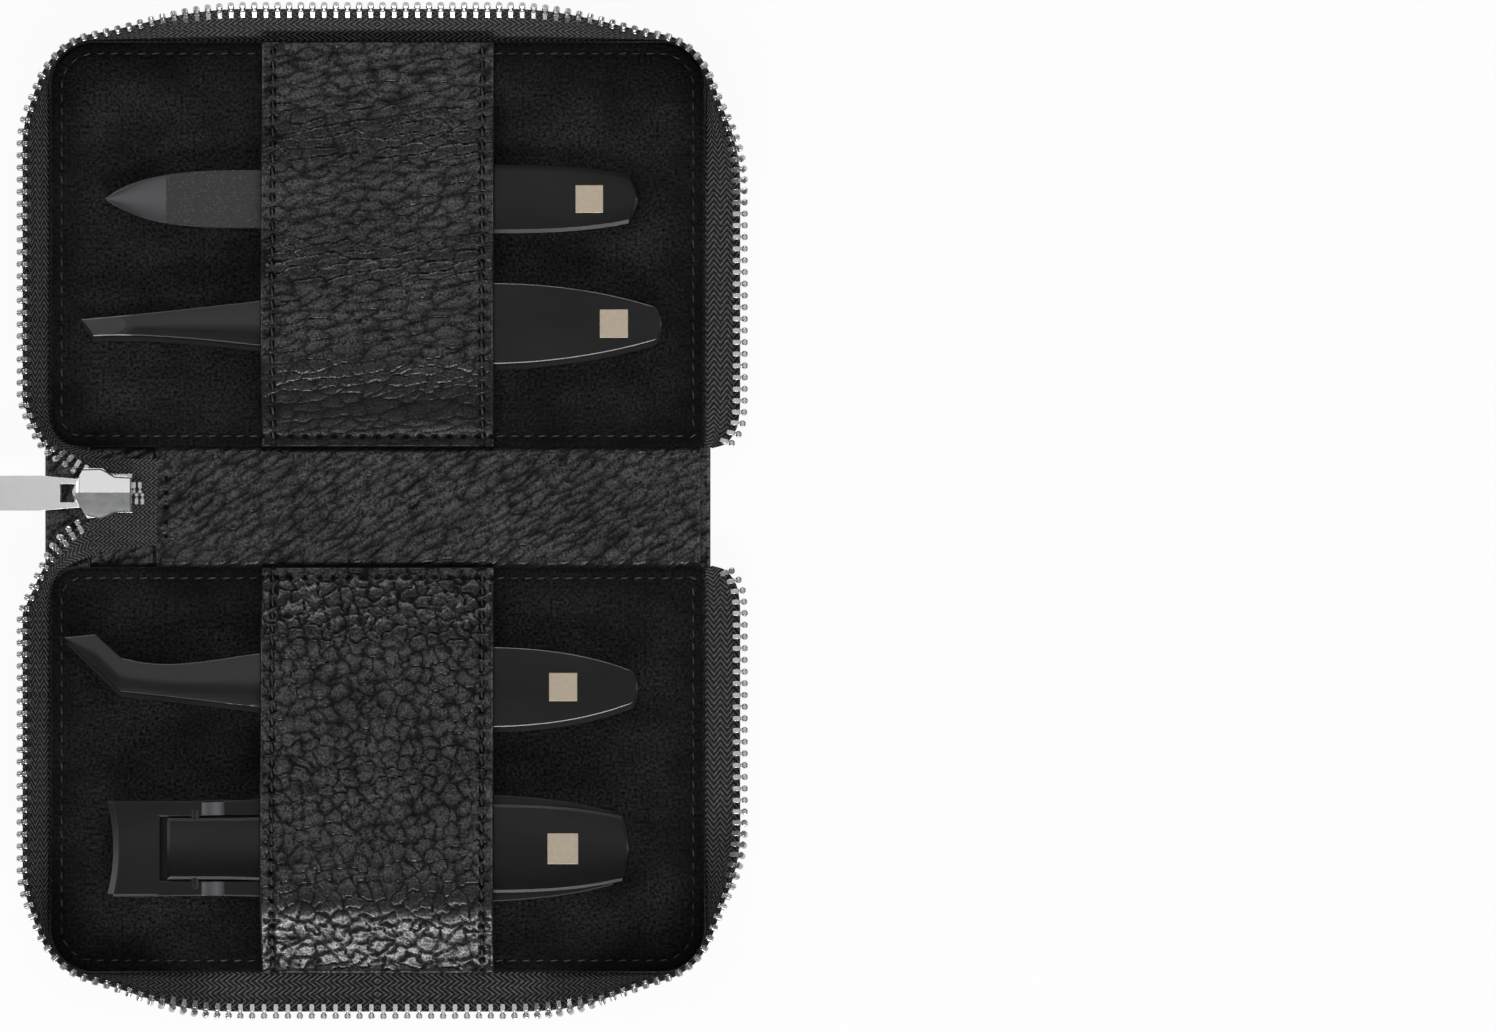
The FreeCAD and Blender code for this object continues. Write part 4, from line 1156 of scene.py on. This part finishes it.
def end_tape():
    """Woven end of the zip by the slider: its middle rides on the spine, and its flanks reach into the halves."""
    xs = np.linspace(WEAVE_START, WEAVE_END, 40)
    for name, side, low, high, start in (("zip_end_weave", 0, WEAVE_LOW, WEAVE_HIGH, 0.0),
                                         ("zip_end_top_flank", 1, WEAVE_HIGH, 7.7, WEAVE_HIGH),
                                         ("zip_end_bottom_flank", -1, -7.4, WEAVE_LOW, WEAVE_LOW)):
        share = np.linspace(0, 1, 8 if side else 24)
        lower = np.full(len(xs), low)
        if side < 0:
            lower += 1.2 * smoothstep((xs - WEAVE_START) / 11)
        y = lower[:, None] * (1 - share) + high * share
        x = np.repeat(xs[:, None], len(share), 1)
        z = 3.0 + 0.12 * np.sin(x * 0.9 + y * 0.5) * np.clip((np.abs(y - 2.2) - 3) / 3, 0, 1)
        piece = slab(name, points_of(x, y, z + 0.22), points_of(x, y, z - 0.22), TAPE, uv=np.stack([x, y], -1) * 1.35)
        fit_spine(piece, side, ["zip_end_tape"], start, side * NEAR)


end_tape()


# Tools and metal pieces
FINE_EDGE = (0.14, 0.085)
RAIL_EDGE = (0.2, 0.16)
END_ZONE = 3.0


def bevelled(node, width, finish, segments=2):
    """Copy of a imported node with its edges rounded, in place of the node."""
    mesh = frame["nodes"][node].data.copy()
    mesh.materials.clear()

    def clean(work):
        bmesh.ops.remove_doubles(work, verts=work.verts, dist=1e-6)
        bmesh.ops.dissolve_limit(work, angle_limit=math.radians(2.0), verts=work.verts, edges=work.edges)

    reworked(mesh, clean).shade_smooth()
    piece = new_piece(node + "_finished", mesh, finish)
    rounding = piece.modifiers.new("rounding", "BEVEL")
    rounding.width = width * MM
    rounding.segments = segments
    rounding.limit_method = "ANGLE"
    rounding.angle_limit = math.radians(30.0)
    piece.modifiers.new("flat_faces", "WEIGHTED_NORMAL").keep_sharp = True
    solid = plain_mesh(piece)
    piece.modifiers.clear()
    piece.data = solid
    return fit(piece, body_of(node), [node])


def lofted(node, crown, chamfer, finish, far_share=1.0, span=None, lane=None, label="finished", slant=0.0, ridge=False):
    """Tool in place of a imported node: its own outline and height along X, with a crowned top and chamfered edges.

    The chamfer is its width and depth, and the far edge has a share of it. A span and a lane keep part of the outline.
    The slant cuts back the near side of the tip. With a ridge, the crown is the slope of a facet along the near half.
    """
    mesh = frame["nodes"][node].data
    points = np.array([v.co[:] for v in mesh.vertices]) / MM
    a, b = (points[[e.vertices[i] for e in mesh.edges]] for i in (0, 1))
    low, high = span or (points[:, 0].min() + 0.015, points[:, 0].max() - 0.015)
    ends = END_ZONE * (0.5 - 0.5 * np.cos(np.linspace(0, math.pi, 13)[:7]))
    middle = np.linspace(low + END_ZONE, high - END_ZONE, int((high - low - 2 * END_ZONE) / 0.5) + 2)[1:-1]
    top, bottom = [], []
    for x in np.concatenate([low + ends, middle, (high - ends)[::-1]]):
        width, depth = chamfer(x) if callable(chamfer) else chamfer
        cross = ((a[:, 0] - x) * (b[:, 0] - x) <= 0) & (np.abs(a[:, 0] - b[:, 0]) > 1e-5)
        t = ((x - a[cross, 0]) / (b[cross, 0] - a[cross, 0]))[:, None]
        hit = a[cross] + (b[cross] - a[cross]) * t
        (_, y0, z0), (_, y1, z1) = hit.min(0), hit.max(0)
        if lane:
            y0, y1 = max(y0, lane[0]), min(y1, lane[1])
        half = (y1 - y0) / 2
        rim = min(width, half * 0.45) / half
        spread = np.concatenate([np.linspace(-1, -1 + rim, 4), np.linspace(-1 + rim, 1 - rim, 20)[1:-1],
                                 np.linspace(1 - rim, 1, 4)])
        inside = np.minimum(half * (1 - np.abs(spread)), np.minimum(x - low, high - x) if span is None else 9.0)
        fall = crown(x) if callable(crown) else crown
        cut = min(depth, (z1 - z0) * 0.6) * np.clip(1 - inside / width, 0, 1) * np.where(spread > 0, far_share, 1.0)
        drop = fall * spread ** 2
        if ridge:
            drop = fall * half * np.where(spread > 0, 0.35 * spread ** 2, np.abs(spread) ** 1.7)
        y = (y0 + y1) / 2 + half * spread
        row = x + slant * (y1 - y) * smoothstep((low + END_ZONE - x) / END_ZONE)
        top.append(points_of(row, y, np.maximum(z1 - drop - cut, z0 + 0.1)))
        bottom.append(points_of(row, y, np.full(len(y), z0)))
    piece = slab(f"{node}_{label}", np.array(top), np.array(bottom), finish, sharp=14)
    return fit(piece, body_of(node), [] if span else [node])


def tip_crown(start, end, depth, facet=-99.0):
    """Crown that grows from nothing on a flat handle to its full depth, and ends at a flat ground facet."""
    return lambda x: depth * float(smoothstep((start - x) / (start - end)) * (1 - 0.9 * smoothstep((facet - x) / 2.0)))


def file_edge(x):
    """The file's handle is bevelled, and its blade is not."""
    return (0.6, 0.27) if x > 0 else FINE_EDGE


def clipper_top():
    """Upper arm of the clipper: a jaw with a hollow ground edge, two bent rails and the rear plate."""
    node = "clipper_upper_arm"
    low, high = node_box(node)
    middle = (low.y + high.y) / 2
    jaw_half, jaw_long, window_half = 7.6, 9.0, 5.1
    window = (low.x + 8.4, low.x + 48.4)
    v = np.linspace(-1, 1, 40)
    edge = (low.x + 1.0 * (1 - v ** 2))[:, None]
    share = np.concatenate([np.linspace(0, 0.95, 6), np.linspace(1.05, jaw_long, 14)]) / jaw_long
    x = edge + (window[0] - edge) * share
    y = np.repeat((middle + jaw_half * v)[:, None], len(share), 1)
    sides = jaw_half * (1 - np.abs(v))[:, None]
    tall = high.z - 0.02 - 0.0105 * (x - low.x)
    z = tall - 0.54 * np.clip(1 - (x - edge) / 0.95, 0, 1) - 0.18 * np.clip(1 - sides / 0.22, 0, 1)
    jaw = slab("clipper_jaw", points_of(x, y, z), points_of(x, y, np.full(x.shape, high.z - 1.1)), CLIPPER_STEEL,
               sharp=14)
    fit(jaw, body_of(node), [node])
    for label, lane in (("near_rail", (low.y - 1, middle - window_half)),
                        ("far_rail", (middle + window_half, high.y + 1))):
        lofted(node, 0.0, RAIL_EDGE, CLIPPER_STEEL, span=(window[0] - 0.3, window[1] + 0.3), lane=lane, label=label)
    lofted(node, 0.0, RAIL_EDGE, STEEL, span=(window[1], high.x - 0.02), label="rear")


def plate(node, proud, finish):
    """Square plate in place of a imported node, a little proud of it, with small chamfers."""
    low, high = node_box(node)
    mesh = built(node + "_plate", lambda work: add_block(work, low, (high.x, high.y, high.z + proud), 0.06))
    fit(new_piece(node + "_plate", mesh, finish), body_of(node), [node])


lofted("file_body", 0.3, file_edge, FILE_STEEL, 0.2)
lofted("tweezer_upper_arm", tip_crown(5.0, -22.0, 0.2, -38.4), FINE_EDGE, TWEEZER_STEEL, slant=0.45, ridge=True)
lofted("angled_tweezer_upper_arm", tip_crown(5.0, -22.0, 0.2), FINE_EDGE, ANGLED_STEEL, ridge=True)
for arm_node, arm_slant in (("tweezer_lower_arm", 0.45), ("angled_tweezer_lower_arm", 0.0)):
    lofted(arm_node, 0.0, (0.12, 0.04), STEEL, slant=arm_slant)
lofted("clipper_lever", 0.5, (0.45, 0.25), STEEL)
bevelled("clipper_lower_arm", 0.2, STEEL)
clipper_top()
for inlay_node, inlay_proud in (("file_inlay", 0.08), ("tweezer_inlay", 0.06), ("angled_tweezer_inlay", 0.25),
                                ("clipper_inlay", 0.06)):
    plate(inlay_node, inlay_proud, BRONZE)
bevelled("file_grit", 0.05, GRIT, 1)
bevelled("clipper_pin", 0.15, PIN)
bevelled("clipper_rivet", 0.15, PIN)
bevelled("slider_body", 0.14, SLIDER)


# Crown of the slider, joined teeth and badge
CROWN_RIDGE = 2.3
CROWN_TOP, CROWN_SEAT = 7.2, 4.6
CROWN_EDGE, CROWN_EDGE_DEPTH = 0.2, 0.3
CROWN_UPPER = ((-48.5, 2.75), (-46.9, 6.0), (-44.0, 6.1), (-43.2, 5.7), (-41.8, 4.85), (-39.1, 4.7))
CROWN_LOWER = ((-48.5, 2.05), (-46.5, -1.3), (-44.2, -1.86), (-43.4, -1.6), (-41.9, -0.9), (-39.1, -0.75))
JOINED_PITCH, JOINED_STEP, JOINED_INSET = 0.95, 0.4, 0.35
RIM_SECTION = ((0.06, 0.42), (0.06, -0.02), (-0.06, -0.12), (-0.38, -0.12), (-0.5, -0.02), (-0.5, 0.42))
RIM_STEPS, RIM_CORNER = 56, 1.0


def slider_crown():
    """Cast crown of the slider: two facets that meet in a ridge along the zip, inside a narrow chamfer."""
    nose, rear = CROWN_UPPER[0][0], CROWN_UPPER[-1][0]
    xs = np.concatenate([np.linspace(nose, nose + 2, 14), np.linspace(nose + 2, rear - CROWN_EDGE, 38)[1:], [rear]])
    upper, lower = (np.interp(xs, *np.array(line).T)[:, None] for line in (CROWN_UPPER, CROWN_LOWER))
    share = np.linspace(0, 1, 12)
    y = np.concatenate([lower, CROWN_RIDGE + (lower + CROWN_EDGE - CROWN_RIDGE) * share[::-1],
                        CROWN_RIDGE + (upper - CROWN_EDGE - CROWN_RIDGE) * share[1:], upper], 1)
    x = np.repeat(xs[:, None], y.shape[1], 1)
    away = np.abs(y - CROWN_RIDGE)
    z = CROWN_TOP - np.where(y > CROWN_RIDGE, 0.14 * away, 0.18 * away + 0.022 * away ** 2)
    z -= 0.9 * np.clip((nose + 1.2 - x) / 1.2, 0, 1) ** 1.5
    z[:, [0, -1]] -= CROWN_EDGE_DEPTH
    z[-1, 1:-1] -= CROWN_EDGE_DEPTH
    piece = slab("slider_crown_cast", points_of(x, y, z), points_of(x, y, np.full(x.shape, CROWN_SEAT)), SLIDER,
                 sharp=15)
    fit(piece, "slider", ["slider_crown"])


def joined_teeth():
    """Rows of teeth that the slider has joined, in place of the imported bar."""
    low, high = node_box("zip_end_teeth")
    places, turns = [], []
    for row, (y, facing) in enumerate(((high.y - JOINED_INSET, -1), (low.y + JOINED_INSET, 1))):
        for x in np.arange(low.x + 0.3 + JOINED_STEP * row, high.x + 0.1, JOINED_PITCH):
            places.append((x, y, (low.z + high.z) / 2))
            turns.append(matrix_of(Vector((facing, 0, 0)), Vector((0, facing, 0)), Vector((0, 0, 1))))
    teeth = stamped("zip_joined_teeth", places, turns, TOOTH, (0.8, 0.8, 1.0), TEETH)
    fit(teeth, body_of("zip_end_teeth"), ["zip_end_teeth"])


def badge_rim():
    """Bright raised rim round the bare badge."""
    low, high = node_box("cover_badge")
    centre, half = (low + high) / 2, (high.x - low.x) / 2
    rows = []
    for turn in turns_of(RIM_STEPS):
        way = np.array([math.cos(turn + math.pi / RIM_STEPS), math.sin(turn + math.pi / RIM_STEPS)])
        square = np.sign(way) * (half - RIM_CORNER) + way * RIM_CORNER
        rows.append([(centre.x + square[0] + way[0] * out, centre.y + square[1] + way[1] * out, low.z + rise)
                     for out, rise in RIM_SECTION])
    rows = np.array(rows)
    rim = shell("badge_rim", rows.reshape(-1, 3), quads(numbers(rows), True, True), SLIDER, sharp=30)
    fit(rim, body_of("cover_badge"))


slider_crown()
bevelled("pull_tab", 0.3, SLIDER, 3)
joined_teeth()
bevelled("cover_badge", 0.12, BADGE)
badge_rim()
for board_node in ("top_board", "bottom_board", "spine_card"):
    for board_slot in frame["nodes"][board_node].material_slots:
        board_slot.material = BOARD
